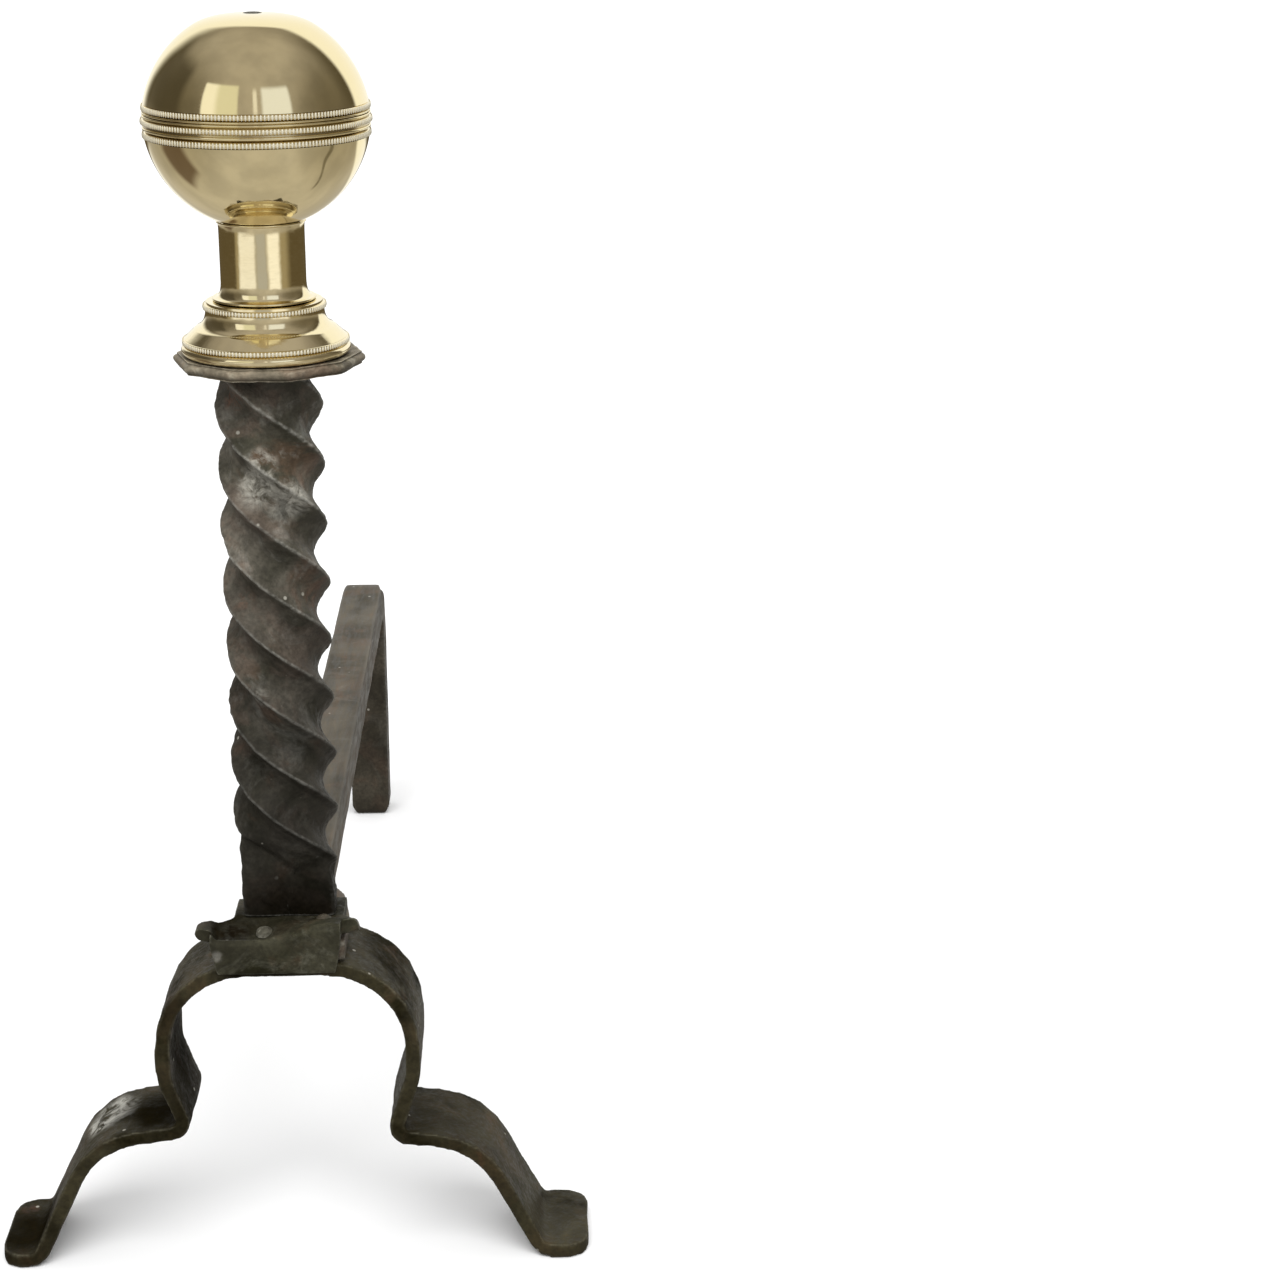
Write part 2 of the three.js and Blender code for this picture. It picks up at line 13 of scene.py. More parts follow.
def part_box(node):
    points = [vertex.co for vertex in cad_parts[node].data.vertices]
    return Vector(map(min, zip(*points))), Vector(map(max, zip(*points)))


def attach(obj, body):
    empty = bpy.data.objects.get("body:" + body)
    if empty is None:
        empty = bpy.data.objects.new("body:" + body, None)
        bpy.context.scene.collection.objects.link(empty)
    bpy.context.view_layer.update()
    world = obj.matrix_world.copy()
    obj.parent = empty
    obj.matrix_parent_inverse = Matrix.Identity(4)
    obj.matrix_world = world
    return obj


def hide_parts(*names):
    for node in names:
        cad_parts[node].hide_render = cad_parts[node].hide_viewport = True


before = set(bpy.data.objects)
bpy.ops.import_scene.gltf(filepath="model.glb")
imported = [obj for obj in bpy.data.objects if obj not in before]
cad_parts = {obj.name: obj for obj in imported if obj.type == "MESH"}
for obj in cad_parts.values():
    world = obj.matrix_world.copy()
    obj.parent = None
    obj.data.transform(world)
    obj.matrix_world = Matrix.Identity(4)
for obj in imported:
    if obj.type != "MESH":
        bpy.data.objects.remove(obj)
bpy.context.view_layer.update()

MM = 0.001
SEED = 7

# ------------------------------------------------------------------ sizes, in millimetres
SEAT = 0.3  # clearance between neighbouring pieces
WALL = 2.2  # spun brass
ROUND = 192  # flats round a turned piece

BALL_RADIUS = 51.0
BALL_SHORT = 2.1  # each pressed half stops this far short of a hemisphere
CROWN_REACH = 27.0  # radius where the ball's top begins to flatten
RING_PITCH = 6.0
RING_BASE = 0.3  # how far a ring's bead stands out of the ball
RING_HALF = 1.5  # half a ring's height
MIDDLE_RING_HALF = 1.35
FILLET_HALF = 0.5  # half the height of the plain lines between the rings
LOW_FILLET_HALF = 0.75
FILLET_PROUD = 0.12
REGISTER = 4.0  # lap inside the upper half
ROD_RADIUS = 3.2
ROD_HOLE = 3.5
ROD_PEEN = 4.1
ROD_PEEN_DEPTH = 1.6

TOOTH_PITCH = 1.65  # knurled teeth round a ring
TOOTH_PROUD = 0.36  # how far a tooth stands out of its bead
TOOTH_FILL = 0.74  # share of the pitch that a tooth takes
TOOTH_INSET = 0.15  # how far a tooth ends inside its bead's upper and lower edge

NECK_WAIST = 19.4
NECK_TOP = 20.3
NECK_FOOT = 23.6
NECK_FLANGE = 1.2
NECK_SWEEP = 7.5
NECK_ROLL = 6.0
NECK_LIP = 0.5  # half the height of the line under the ball

PLINTH_RADIUS = 38.6
MOULDING = 4.6
LOWER_RING = 38.2
LOWER_RING_HEIGHT = 6.0
UPPER_RING = 28.2
UPPER_RING_HEIGHT = 21.9
PLINTH_BEAD = 1.3
COVE_TOP = 27.0
COVE_SAG = 1.9
SPIGOT = 5.0

CAP_CORNERS = 10
CAP_RINGS = 26  # rings of points from the cap's middle to its rim

STOCK = 38.6  # the column's bar across its flats
RIDGE_REACH = 25.2  # axis to a ridge, before its lip
RIDGE_LIP = 0.7
RIDGE_GROOVE = 0.9
FACE_HOLLOW = 0.5
QUARTER_TWIST = 28.6
RIDGE_HEIGHT = 253.1  # column base to a height where a ridge points along X
HEEL_TOP = 33.0  # middle of the heel's blend, on the column's front
HEEL_SLANT = 10.0  # how much higher that is on the left, and lower on the right
HEEL_BLEND = 17.0
HEEL_WIDTH = 45.6
HEEL_DEPTH = 21.0
COLUMN_DENT = 1.0  # depth of the hammering on the column
TENON = 8.0
TENON_PEEN = 10.0
PEEN_DEPTH = 2.5

BEND_PULL = 4.2  # how far the bar's right arris is drawn in over the rear bend
BEND_SPREAD = 1.6  # how far its left arris is
FOOT_ROUND = 2.6
LIP_DROP = 2.6  # the saddle's front lip is this much lower on the left
LIP_RISE = 7.2  # and rises by this much to the right
PLATE_DISH = 2.6

RIVET_SHANK = 2.6
RIVET_PEEN = 3.8
RIVET_DOME = 2.8  # height of the round head
RIVET_SEAT = 1.5  # how far the head's rim reaches down into the plate


# ------------------------------------------------------------------ node trees
class Graph:
    """Adds and wires the nodes of one tree. An input given as a socket is linked, anything else is set."""

    def __init__(self, tree):
        self.tree = tree

    def node(self, kind, inputs=(), **settings):
        made = self.tree.nodes.new(kind)
        for name, value in settings.items():
            setattr(made, name, value)
        for key, value in dict(inputs).items():
            if isinstance(value, bpy.types.NodeSocket):
                self.tree.links.new(value, made.inputs[key])
            else:
                made.inputs[key].default_value = value
        return made

    def math(self, operation, *values):
        return self.node("ShaderNodeMath", enumerate(values), operation=operation).outputs[0]

    def plus(self, first, second):
        return self.math("ADD", first, second)

    def minus(self, first, second):
        return self.math("SUBTRACT", first, second)

    def times(self, first, *others):
        for other in others:
            first = self.math("MULTIPLY", first, other)
        return first

    def over(self, first, second):
        return self.math("DIVIDE", first, second)

    def degrees(self, angle):
        return self.times(angle, 180 / math.pi)

    def vector(self, operation, *values):
        return self.node("ShaderNodeVectorMath", enumerate(values), operation=operation).outputs[0]

    def point(self, x, y, z):
        return self.node("ShaderNodeCombineXYZ", {0: x, 1: y, 2: z}).outputs[0]

    def parts(self, vector):
        """The X, Y and Z of a vector."""
        return self.node("ShaderNodeSeparateXYZ", {0: vector}).outputs

    def even(self, value):
        """A grey of this brightness."""
        return self.node("ShaderNodeCombineColor", {0: value, 1: value, 2: value}).outputs[0]

    def brightness(self, colour):
        return self.node("ShaderNodeRGBToBW", {0: colour}).outputs[0]

    def distance(self, first, second):
        inputs = enumerate((first, second))
        return self.node("ShaderNodeVectorMath", inputs, operation="DISTANCE").outputs["Value"]

    def dot(self, first, second):
        inputs = enumerate((first, second))
        return self.node("ShaderNodeVectorMath", inputs, operation="DOT_PRODUCT").outputs["Value"]

    def smooth(self, value, low, high, start=0.0, end=1.0):
        """Goes smoothly from start to end as the value goes from low to high."""
        inputs = {0: value, 1: low, 2: high, 3: start, 4: end}
        return self.node("ShaderNodeMapRange", inputs, interpolation_type="SMOOTHSTEP").outputs[0]

    def band(self, value, low, high, soft):
        """1 between low and high, fading out over soft on both sides."""
        rise = self.smooth(value, low - soft, low + soft)
        fall = self.smooth(value, high - soft, high + soft, 1.0, 0.0)
        return self.times(rise, fall)

    def mix(self, factor, first, second, blend="MIX"):
        """Mixes two colours."""
        inputs = {0: factor, 6: first, 7: second}
        return self.node("ShaderNodeMix", inputs, data_type="RGBA", blend_type=blend).outputs[2]

    def ramp(self, value, *stops):
        """A smooth curve through (value, number) stops; the numbers lie between 0 and 1."""
        made = self.node("ShaderNodeValToRGB", {0: value})
        made.color_ramp.interpolation = "CARDINAL"
        points = made.color_ramp.elements
        while len(points) < len(stops):
            points.new(0.5)
        for point, (place, number) in zip(points, stops):
            point.position = place
            point.color = (number, number, number, 1.0)
        return self.brightness(made.outputs[0])

    def noise(self, place, scale, detail=4.0, rough=0.5, warp=0.0):
        inputs = {"Vector": place, "Scale": scale, "Detail": detail, "Roughness": rough, "Distortion": warp}
        return self.node("ShaderNodeTexNoise", inputs, noise_dimensions="3D").outputs[0]

    def cells(self, place, scale):
        """Distance from the nearest of many scattered points."""
        return self.node("ShaderNodeTexVoronoi", {"Vector": place, "Scale": scale}).outputs[0]

    def bump(self, height, distance, strength=1.0, normal=None):
        inputs = {"Height": height, "Distance": distance, "Strength": strength}
        if normal:
            inputs["Normal"] = normal
        return self.node("ShaderNodeBump", inputs).outputs[0]


def rgb(red, green, blue):
    return (red, green, blue, 1.0)


def new_material(name):
    """A material, its graph, its shader and the piece's own coordinates."""
    material = bpy.data.materials.new(name)
    material.use_nodes = True
    graph = Graph(material.node_tree)
    shader = next(n for n in material.node_tree.nodes if n.type == "BSDF_PRINCIPLED")
    place = graph.node("ShaderNodeTexCoord").outputs["Object"]
    return material, graph, shader, place


def connect(graph, shader, **sockets):
    """Links sockets to the shader's inputs, and sets plain values on them."""
    for name, value in sockets.items():
        target = shader.inputs[name.replace("_", " ")]
        if isinstance(value, bpy.types.NodeSocket):
            graph.tree.links.new(value, target)
        else:
            target.default_value = value


# ------------------------------------------------------------------ materials
TARNISH = rgb(0.20, 0.12, 0.035)
RUST_STAIN = rgb(0.085, 0.034, 0.017)
# painted shade: the dull black laid where shade falls under the heel and in the knees
SHADE_BLACK = rgb(0.006, 0.0045, 0.0018)
CREVICE_SHADE = rgb(0.004, 0.003, 0.0015)
BARE_SPECK = rgb(0.42, 0.40, 0.34)
WORN = rgb(0.22, 0.21, 0.18)
BRIGHT = rgb(0.36, 0.35, 0.31)
RUST = rgb(0.11, 0.047, 0.025)


def brass(name, pale, deep, smooth, rough, ripple, metal=1.0):
    """Buffed brass: two tints, faint swirls, a little waviness, and brown in the grooves.

    smooth and rough are the least and the greatest roughness. ripple is the depth of the waves in mm.
    """
    material, graph, shader, place = new_material(name)
    cloud = graph.noise(place, 38.0, 5.0, 0.6)
    swirl = graph.noise(graph.vector("MULTIPLY", place, (1.0, 1.0, 7.0)), 260.0, 3.0, 0.6)
    pointed = graph.node("ShaderNodeNewGeometry").outputs["Pointiness"]
    groove = graph.smooth(pointed, 0.40, 0.48, 1.0, 0.0)
    colour = graph.mix(graph.times(groove, 0.7), graph.mix(cloud, deep, pale), TARNISH)
    blur = graph.plus(graph.smooth(swirl, 0.3, 0.75, smooth, rough), graph.times(groove, 0.2))
    wave = graph.bump(graph.noise(place, 60.0, 3.0, 0.5), ripple * MM, 0.1)
    connect(graph, shader, Base_Color=colour, Metallic=metal, Roughness=blur, Normal=wave)
    return material


def scale_tones(graph, place, patch, dark, brown, grey, rust, scuff):
    """Two tones of fire scale with a purple cast in places, rust in patches and grey smears."""
    broad = graph.noise(place, 20.0, 5.0, 0.58, 0.5)
    scale = graph.mix(graph.smooth(broad, 0.36, 0.60), dark, brown)
    purple = graph.noise(graph.vector("ADD", place, (0.7, 0.2, 0.4)), 30.0, 5.0, 0.6, 0.6)
    cast = rgb(brown[0] * 1.1, brown[1] * 0.9, brown[2] * 0.86)
    scale = graph.mix(graph.times(graph.smooth(purple, 0.50, 0.62), 0.5), scale, cast)
    scale = graph.mix(graph.times(graph.smooth(patch, 0.56, 0.70), rust), scale, RUST_STAIN)
    smear = graph.smooth(graph.noise(place, 30.0, 7.0, 0.7, 1.2), 0.52, 0.68)
    return graph.mix(graph.times(smear, scuff), scale, grey)


def marked(graph, place, patch, scale, spots, painted_shade):
    """The scale with its worn and rusty places, and painted shade in dull black places, each fading out
    towards its reach.
    """
    ragged = graph.smooth(graph.noise(place, 130.0, 6.0, 0.7, 0.8), 0.38, 0.62)
    for x, y, z, reach, colour, strength in spots:
        away = graph.distance(place, (x * MM, y * MM, z * MM))
        near = graph.smooth(away, 0.35 * reach * MM, reach * MM, strength, 0.0)
        scale = graph.mix(graph.times(near, ragged), scale, colour)
    # painted shade: soft-edged dull black where shade falls
    for x, y, z, reach, strength in painted_shade:
        away = graph.distance(place, (x * MM, y * MM, z * MM))
        near = graph.smooth(away, 0.25 * reach * MM, reach * MM, strength, 0.0)
        near = graph.times(near, graph.smooth(patch, 0.25, 0.6, 0.7, 1.0))
        scale = graph.mix(near, scale, SHADE_BLACK)
    return scale


def forged_iron(name, dark, brown, grey, rust, scuff, streak=(1.0, 1.0, 1.0), painted_height_light=None, spots=(), painted_shade=()):
    """Forged iron: fire scale, wear on the edges, painted shade in the crevices, bright specks, pits and
    dents.

    streak stretches the pattern along an axis where it is less than 1.
    fade is (low, high, darkest, lightest): painted light and shade, the scale darker below one height and
    lighter above another, in metres.
    spots are (x, y, z, reach, colour, strength) in millimetres: worn or rusty places with ragged edges.
    soot is (x, y, z, reach, strength): painted shade, dull black places with soft edges where shade falls.
    """
    material, graph, shader, place = new_material(name)
    stretched = graph.vector("MULTIPLY", place, streak)
    patch = graph.noise(graph.vector("ADD", stretched, (0.31, 0.17, 0.05)), 44.0, 6.0, 0.58, 0.6)
    fine = graph.noise(stretched, 420.0, 5.0, 0.65)
    pointed = graph.node("ShaderNodeNewGeometry").outputs["Pointiness"]
    edge = graph.smooth(pointed, 0.512, 0.575)
    hollow = graph.smooth(pointed, 0.43, 0.492, 1.0, 0.0)

    scale = scale_tones(graph, place, patch, dark, brown, grey, rust, scuff)
    scale = marked(graph, place, patch, scale, spots, painted_shade)
    worn = graph.times(edge, graph.smooth(fine, 0.3, 0.62, 0.3, 0.85))
    scale = graph.mix(worn, scale, grey)
    # painted shade: hollows darkened nearly to black
    scale = graph.mix(graph.times(hollow, 0.85), scale, CREVICE_SHADE)
    sheen = graph.smooth(graph.brightness(scale), 0.004, 0.034, 0.0, 0.16)

    tone = graph.times(graph.smooth(fine, 0.25, 0.75, 0.72, 1.28), graph.smooth(patch, 0.3, 0.7, 0.72, 1.28))
    # painted light and shade: darker low down and lighter high up, by height
    if painted_height_light:
        tone = graph.times(tone, graph.smooth(graph.parts(place)[2], *painted_height_light))
    scale = graph.mix(1.0, scale, graph.even(tone), "MULTIPLY")
    speck = graph.smooth(graph.cells(place, 82.0), 0.05, 0.095, 1.0, 0.0)
    chosen = graph.smooth(graph.noise(place, 45.0, 1.0), 0.47, 0.53)
    scale = graph.mix(graph.times(speck, chosen, 0.8), scale, BARE_SPECK)

    rough = graph.minus(graph.smooth(fine, 0.3, 0.7, 0.42, 0.68), graph.times(worn, 0.12))
    pits = graph.bump(fine, 0.4 * MM, 0.6)
    dents = graph.bump(patch, 2.2 * MM, 0.6, pits)
    connect(graph, shader, Base_Color=scale, Metallic=0.0, Specular_IOR_Level=sheen, Roughness=rough,
            Normal=dents)
    return material


def polished_brass():
    return brass("polished brass", rgb(0.90, 0.79, 0.51), rgb(0.86, 0.735, 0.44), 0.035, 0.09, 0.4)


def yellow_brass():
    return brass("yellow brass", rgb(0.93, 0.83, 0.57), rgb(0.87, 0.74, 0.45), 0.06, 0.14, 2.4)


def knurled_brass():
    return brass("knurled brass", rgb(0.98, 0.93, 0.76), rgb(0.96, 0.89, 0.69), 0.12, 0.20, 0.3, metal=0.4)


def leg_scale():
    return forged_iron(
        "brown leg scale", rgb(0.011, 0.009, 0.0035), rgb(0.040, 0.034, 0.017), rgb(0.10, 0.092, 0.064),
        rust=0.2, scuff=0.15,
        spots=((-94, -272, 66, 19, BRIGHT, 1.5), (-139, -262, 8, 6, RUST, 0.7)),
        # painted shade in both knees, under the left shelf and on the left foot
        painted_shade=((-66, -282, 62, 34, 1.0), (-50, -282, 86, 40, 0.8), (-137, -284, 8, 40, 0.95),
              (66, -282, 66, 42, 0.5)))


def saddle_scale():
    # painted shade: near-black where the heel's shade falls on the front of the saddle
    heel_shade_black = rgb(0.014, 0.008, 0.005)
    return forged_iron(
        "olive saddle scale", rgb(0.017, 0.016, 0.008), rgb(0.047, 0.044, 0.028), rgb(0.15, 0.145, 0.11),
        rust=0.2, scuff=0.45,
        spots=((-25, -296, 176, 15, heel_shade_black, 0.9), (-31, -312, 170, 4, WORN, 0.9),
               (33, -312, 172, 4, WORN, 0.9)),
        # painted shade on the saddle under the column's heel
        painted_shade=((-25, -295, 178, 24, 0.8), (2, -287, 178, 26, 0.6)))


def rivet_scale():
    return forged_iron("worn rivet heads", rgb(0.036, 0.034, 0.024), rgb(0.085, 0.080, 0.060),
                       rgb(0.24, 0.23, 0.19), rust=0.1, scuff=0.8)


def bar_scale():
    # painted shade: the bar darker towards the floor
    return forged_iron("heat-browned bar", rgb(0.050, 0.043, 0.030), rgb(0.092, 0.079, 0.058),
                       rgb(0.16, 0.148, 0.122), rust=0.25, scuff=0.3, streak=(1.0, 0.14, 1.0),
                       painted_height_light=(0.02, 0.17, 0.65, 1.0))


def column_scale():
    # painted light and shade: the column lighter towards its top and darker towards its foot
    return forged_iron(
        "black column scale", rgb(0.032, 0.030, 0.021), rgb(0.076, 0.068, 0.054), rgb(0.18, 0.175, 0.155),
        rust=0.25, scuff=0.35, painted_height_light=(0.22, 0.45, 0.55, 2.0),
        spots=((-3.8, -300, 399, 14, WORN, 1.0), (12.8, -300, 391, 14, WORN, 0.95),
               (-15, -293, 441, 12, RUST, 1.0), (-13, -297, 344, 9, RUST, 0.6),
               (-7, -301, 296, 8, WORN, 0.7), (0, -301, 410, 10, WORN, 0.7),
               (0.9, -291, 215, 2.2, BRIGHT, 1.0), (16.7, -291, 214, 2.2, BRIGHT, 1.0),
               (-3.2, -290, 201, 1.8, BRIGHT, 1.0), (-9, -300, 257, 2.2, BRIGHT, 1.0)),
        # painted shade at the foot of the column's heel
        painted_shade=((-9, -297, 178, 42, 0.8), (14, -297, 176, 42, 0.8)))


def cap_scale():
    return forged_iron("hammered cap scale", rgb(0.105, 0.090, 0.062), rgb(0.21, 0.178, 0.128),
                       rgb(0.46, 0.42, 0.32), rust=0.3, scuff=0.6)


def floor_paper():
    material, graph, shader, place = new_material("pale floor")
    tone = graph.smooth(graph.noise(place, 3.0), 0.3, 0.7, 0.985, 1.0)
    connect(graph, shader, Base_Color=graph.even(tone), Roughness=0.9)
    return material


# ------------------------------------------------------------------ placing
def centre(node):
    low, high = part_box(node)
    return (low + high) / 2


AXIS = centre("tie_rod")  # the column, the cap, the plinth, the neck and the ball stand on this line


def new_piece(name, mesh):
    piece = bpy.data.objects.new(name, mesh)
    bpy.context.scene.collection.objects.link(piece)
    return piece


def dress(piece, material, slot, *nodes):
    """Gives a finished piece its material and its body, and hides the nodes that it stands for."""
    piece.data.materials.clear()
    piece.data.materials.append(material)
    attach(piece, "root")
    if nodes:
        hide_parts(*nodes)


def shade(mesh, sharp_degrees=35.0):
    mesh.shade_smooth()
    mesh.set_sharp_from_angle(angle=math.radians(sharp_degrees))


def clean(mesh):
    """Merges doubles and points the faces outwards."""
    work = bmesh.new()
    work.from_mesh(mesh)
    bmesh.ops.remove_doubles(work, verts=work.verts, dist=0.002 * MM)
    bmesh.ops.recalc_face_normals(work, faces=work.faces)
    work.to_mesh(mesh)
    work.free()


# ------------------------------------------------------------------ turned pieces
def arc(reach, height, radius, start, end, steps=10):
    """Points of an arc round (reach, height), from one angle to another in degrees."""
    angles = [math.radians(start + (end - start) * i / steps) for i in range(steps + 1)]
    return [(reach + radius * math.cos(a), height + radius * math.sin(a)) for a in angles]


def curve(first, pull, last, steps=12):
    """Points of a quadratic curve."""
    points = []
    for i in range(steps + 1):
        t = i / steps
        weights = ((1 - t) ** 2, 2 * t * (1 - t), t * t)
        points.append(tuple(sum(w * p[k] for w, p in zip(weights, (first, pull, last))) for k in (0, 1)))
    return points


def bead(crest, height, half):
    return arc(crest - half, height, half, -90, 90)


def turned(name, outline, height, swell=None):
    """A closed turned mesh: (radius, height) pairs in mm, up the outside and down the inside.

    swell(angle) scales the radius, for a piece that isn't quite round.
    """
    turns = [math.tau * i / ROUND for i in range(ROUND)]
    scale = [swell(a) if swell else 1.0 for a in turns]
    points = []
    for radius, rise in outline:
        for angle, factor in zip(turns, scale):
            reach = radius * factor * MM
            x = AXIS.x + reach * math.cos(angle)
            y = AXIS.y + reach * math.sin(angle)
            points.append((x, y, height + rise * MM))
    faces = []
    rows = len(outline)
    for row in range(rows):
        above = (row + 1) % rows
        for i in range(ROUND):
            j = (i + 1) % ROUND
            faces.append((row * ROUND + i, row * ROUND + j, above * ROUND + j, above * ROUND + i))
    mesh = bpy.data.meshes.new(name)
    mesh.from_pydata(points, [], faces)
    clean(mesh)
    shade(mesh)
    return mesh


# ------------------------------------------------------------------ knurling
def knurl_tree(material):
    """Geometry nodes that set small upright teeth round a ring."""
    tree = bpy.data.node_groups.new("knurled ring", "GeometryNodeTree")
    face = tree.interface
    face.new_socket("Geometry", in_out="OUTPUT", socket_type="NodeSocketGeometry")
    face.new_socket("Geometry", in_out="INPUT", socket_type="NodeSocketGeometry")
    sizes = {}
    for name in ("Reach", "Height", "Tooth Width", "Tooth Depth", "Tooth Height"):
        sizes[name] = face.new_socket(name, in_out="INPUT", socket_type="NodeSocketFloat").identifier
    sizes["Teeth"] = face.new_socket("Teeth", in_out="INPUT", socket_type="NodeSocketInt").identifier
    sizes["Centre"] = face.new_socket("Centre", in_out="INPUT", socket_type="NodeSocketVector").identifier

    graph = Graph(tree)
    given = graph.node("NodeGroupInput").outputs
    circle = graph.node("GeometryNodeMeshCircle", {"Vertices": given["Teeth"], "Radius": given["Reach"]})
    shift = graph.vector("ADD", given["Centre"], graph.point(0.0, 0.0, given["Height"]))
    ring = graph.node("GeometryNodeTransform", {"Geometry": circle.outputs["Mesh"], "Translation": shift})
    outward = graph.vector("SUBTRACT", graph.node("GeometryNodeInputPosition").outputs[0], shift)
    turn = graph.node("FunctionNodeAlignRotationToVector", {"Vector": outward}, axis="X", pivot_axis="Z")
    widths = graph.node("FunctionNodeRandomValue", {2: 0.8, 3: 1.1, "Seed": SEED}, data_type="FLOAT")
    size = graph.point(given["Tooth Depth"], given["Tooth Width"], given["Tooth Height"])
    uneven = graph.point(1.0, widths.outputs[1], 1.0)
    tooth = graph.node("GeometryNodeMeshUVSphere", {"Segments": 8, "Rings": 5, "Radius": 0.5})
    teeth = graph.node("GeometryNodeInstanceOnPoints", {
        "Points": ring.outputs[0],
        "Instance": tooth.outputs["Mesh"],
        "Rotation": turn.outputs[0],
        "Scale": graph.vector("MULTIPLY", size, uneven),
    })
    solid = graph.node("GeometryNodeRealizeInstances", {"Geometry": teeth.outputs[0]})
    smooth = graph.node("GeometryNodeSetShadeSmooth", {"Geometry": solid.outputs[0]})
    painted = graph.node("GeometryNodeSetMaterial", {"Geometry": smooth.outputs[0], "Material": material})
    graph.node("NodeGroupOutput", {"Geometry": painted.outputs[0]})
    return tree, sizes


def grown(name, tree, values):
    """The plain mesh that a geometry tree makes with these inputs."""
    host = new_piece(name, bpy.data.meshes.new(name))
    modifier = host.modifiers.new("growth", "NODES")
    modifier.node_group = tree
    for identifier, value in values.items():
        modifier[identifier] = value
    evaluated = host.evaluated_get(bpy.context.evaluated_depsgraph_get())
    mesh = bpy.data.meshes.new_from_object(evaluated)
    host.modifiers.remove(modifier)
    bpy.data.objects.remove(host)
    mesh.name = name
    return mesh


def joined(name, meshes):
    """One mesh from several."""
    work = bmesh.new()
    for mesh in meshes:
        work.from_mesh(mesh)
        bpy.data.meshes.remove(mesh)
    mesh = bpy.data.meshes.new(name)
    work.to_mesh(mesh)
    work.free()
    mesh.shade_smooth()
    return mesh


def knurled(name, rings, material):
    """Teeth on several rings, each given as crest radius, half height and place in metres."""
    tree, sizes = knurl_tree(material)
    meshes = []
    for crest, half, height in rings:
        teeth = round(math.tau * crest / TOOTH_PITCH)
        values = {
            sizes["Reach"]: crest * MM,
            sizes["Height"]: height,
            sizes["Tooth Width"]: TOOTH_PITCH * TOOTH_FILL * MM,
            sizes["Tooth Depth"]: 2 * TOOTH_PROUD * MM,
            sizes["Tooth Height"]: 2 * (half - TOOTH_INSET) * MM,
            sizes["Teeth"]: teeth,
            sizes["Centre"]: (AXIS.x, AXIS.y, 0.0),
        }
        meshes.append(grown(f"{name} ring", tree, values))
    return joined(name, meshes)


# ------------------------------------------------------------------ brass ball
BALL_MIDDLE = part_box("ball_upper")[0].z - (RING_PITCH / 2 + SEAT) * MM


def shell_height(radius, reach):
    return math.sqrt(radius**2 - reach**2) - BALL_SHORT


def shell_reach(radius, height):
    return math.sqrt(radius**2 - (abs(height) + BALL_SHORT) ** 2)


def shell_arc(side, radius, start, end, steps=48):
    """Outline of a shell between two heights, on the upper side (1) or the lower side (-1)."""
    first = math.degrees(math.asin((start + side * BALL_SHORT) / radius))
    last = math.degrees(math.asin((end + side * BALL_SHORT) / radius))
    return arc(0, -side * BALL_SHORT, radius, first, last, steps)


def ball_ring(height, half, proud):
    return bead(shell_reach(BALL_RADIUS, height) + proud, height, half)


def ball_upper(finish):
    seam = RING_PITCH / 2 + SEAT
    top = (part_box("ball_upper")[1].z - BALL_MIDDLE) / MM
    shoulder = shell_height(BALL_RADIUS, CROWN_REACH)
    slope = CROWN_REACH / (shoulder + BALL_SHORT)
    lining = BALL_RADIUS - WALL
    inner = CROWN_REACH - WALL
    skirt = shell_reach(lining, seam + REGISTER)
    outline = [(skirt, seam)]
    outline += ball_ring(seam + FILLET_HALF, FILLET_HALF, FILLET_PROUD)
    outline += ball_ring(RING_PITCH, RING_HALF, RING_BASE)
    outline += shell_arc(1, BALL_RADIUS, RING_PITCH + RING_HALF, shoulder)
    outline += curve((CROWN_REACH, shoulder), (CROWN_REACH - (top - shoulder) / slope, top),
                     (ROD_PEEN + SEAT, top), 24)[1:]
    outline += [(ROD_HOLE, top - ROD_PEEN_DEPTH), (ROD_HOLE, top - WALL), (ROD_PEEN + WALL, top - WALL)]
    outline += shell_arc(1, lining, shell_height(lining, inner), seam + REGISTER)
    mesh = turned("ball_top_half", outline, BALL_MIDDLE)
    dress(new_piece("ball_top_half", mesh), finish, "polished_brass", "ball_upper")


def ball_lower(finish):
    seam = RING_PITCH / 2
    lining = BALL_RADIUS - WALL
    spigot = NECK_WAIST - WALL - SEAT
    boss = (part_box("ball_lower")[0].z - BALL_MIDDLE) / MM
    lap = shell_reach(lining, seam + REGISTER + SEAT) - SEAT
    outline = [(ROD_HOLE, boss), (spigot, boss)]
    outline += shell_arc(-1, BALL_RADIUS, -shell_height(BALL_RADIUS, spigot), -RING_PITCH - RING_HALF)
    outline += ball_ring(-RING_PITCH, RING_HALF, RING_BASE)
    outline += ball_ring(-RING_PITCH / 2, LOW_FILLET_HALF, FILLET_PROUD)
    outline += ball_ring(0, MIDDLE_RING_HALF, RING_BASE)
    outline += ball_ring(seam - FILLET_HALF, FILLET_HALF, FILLET_PROUD)
    outline += [(lap, seam), (lap, seam + REGISTER)]
    outline += [(lap - WALL / 2, seam + REGISTER), (lap - WALL / 2, -WALL)]
    outline += shell_arc(-1, lining, -WALL - 0.5, -shell_height(lining, spigot))
    outline += [(ROD_HOLE, -shell_height(lining, spigot))]
    mesh = turned("ball_bottom_half", outline, BALL_MIDDLE)
    dress(new_piece("ball_bottom_half", mesh), finish, "polished_brass", "ball_lower")


def ball_knurling(finish):
    rings = []
    for height, half in ((RING_PITCH, RING_HALF), (0, MIDDLE_RING_HALF), (-RING_PITCH, RING_HALF)):
        rings.append((shell_reach(BALL_RADIUS, height) + RING_BASE, half, BALL_MIDDLE + height * MM))
    mesh = knurled("ball_knurling", rings, finish)
    dress(new_piece("ball_knurling", mesh), finish, "polished_brass")


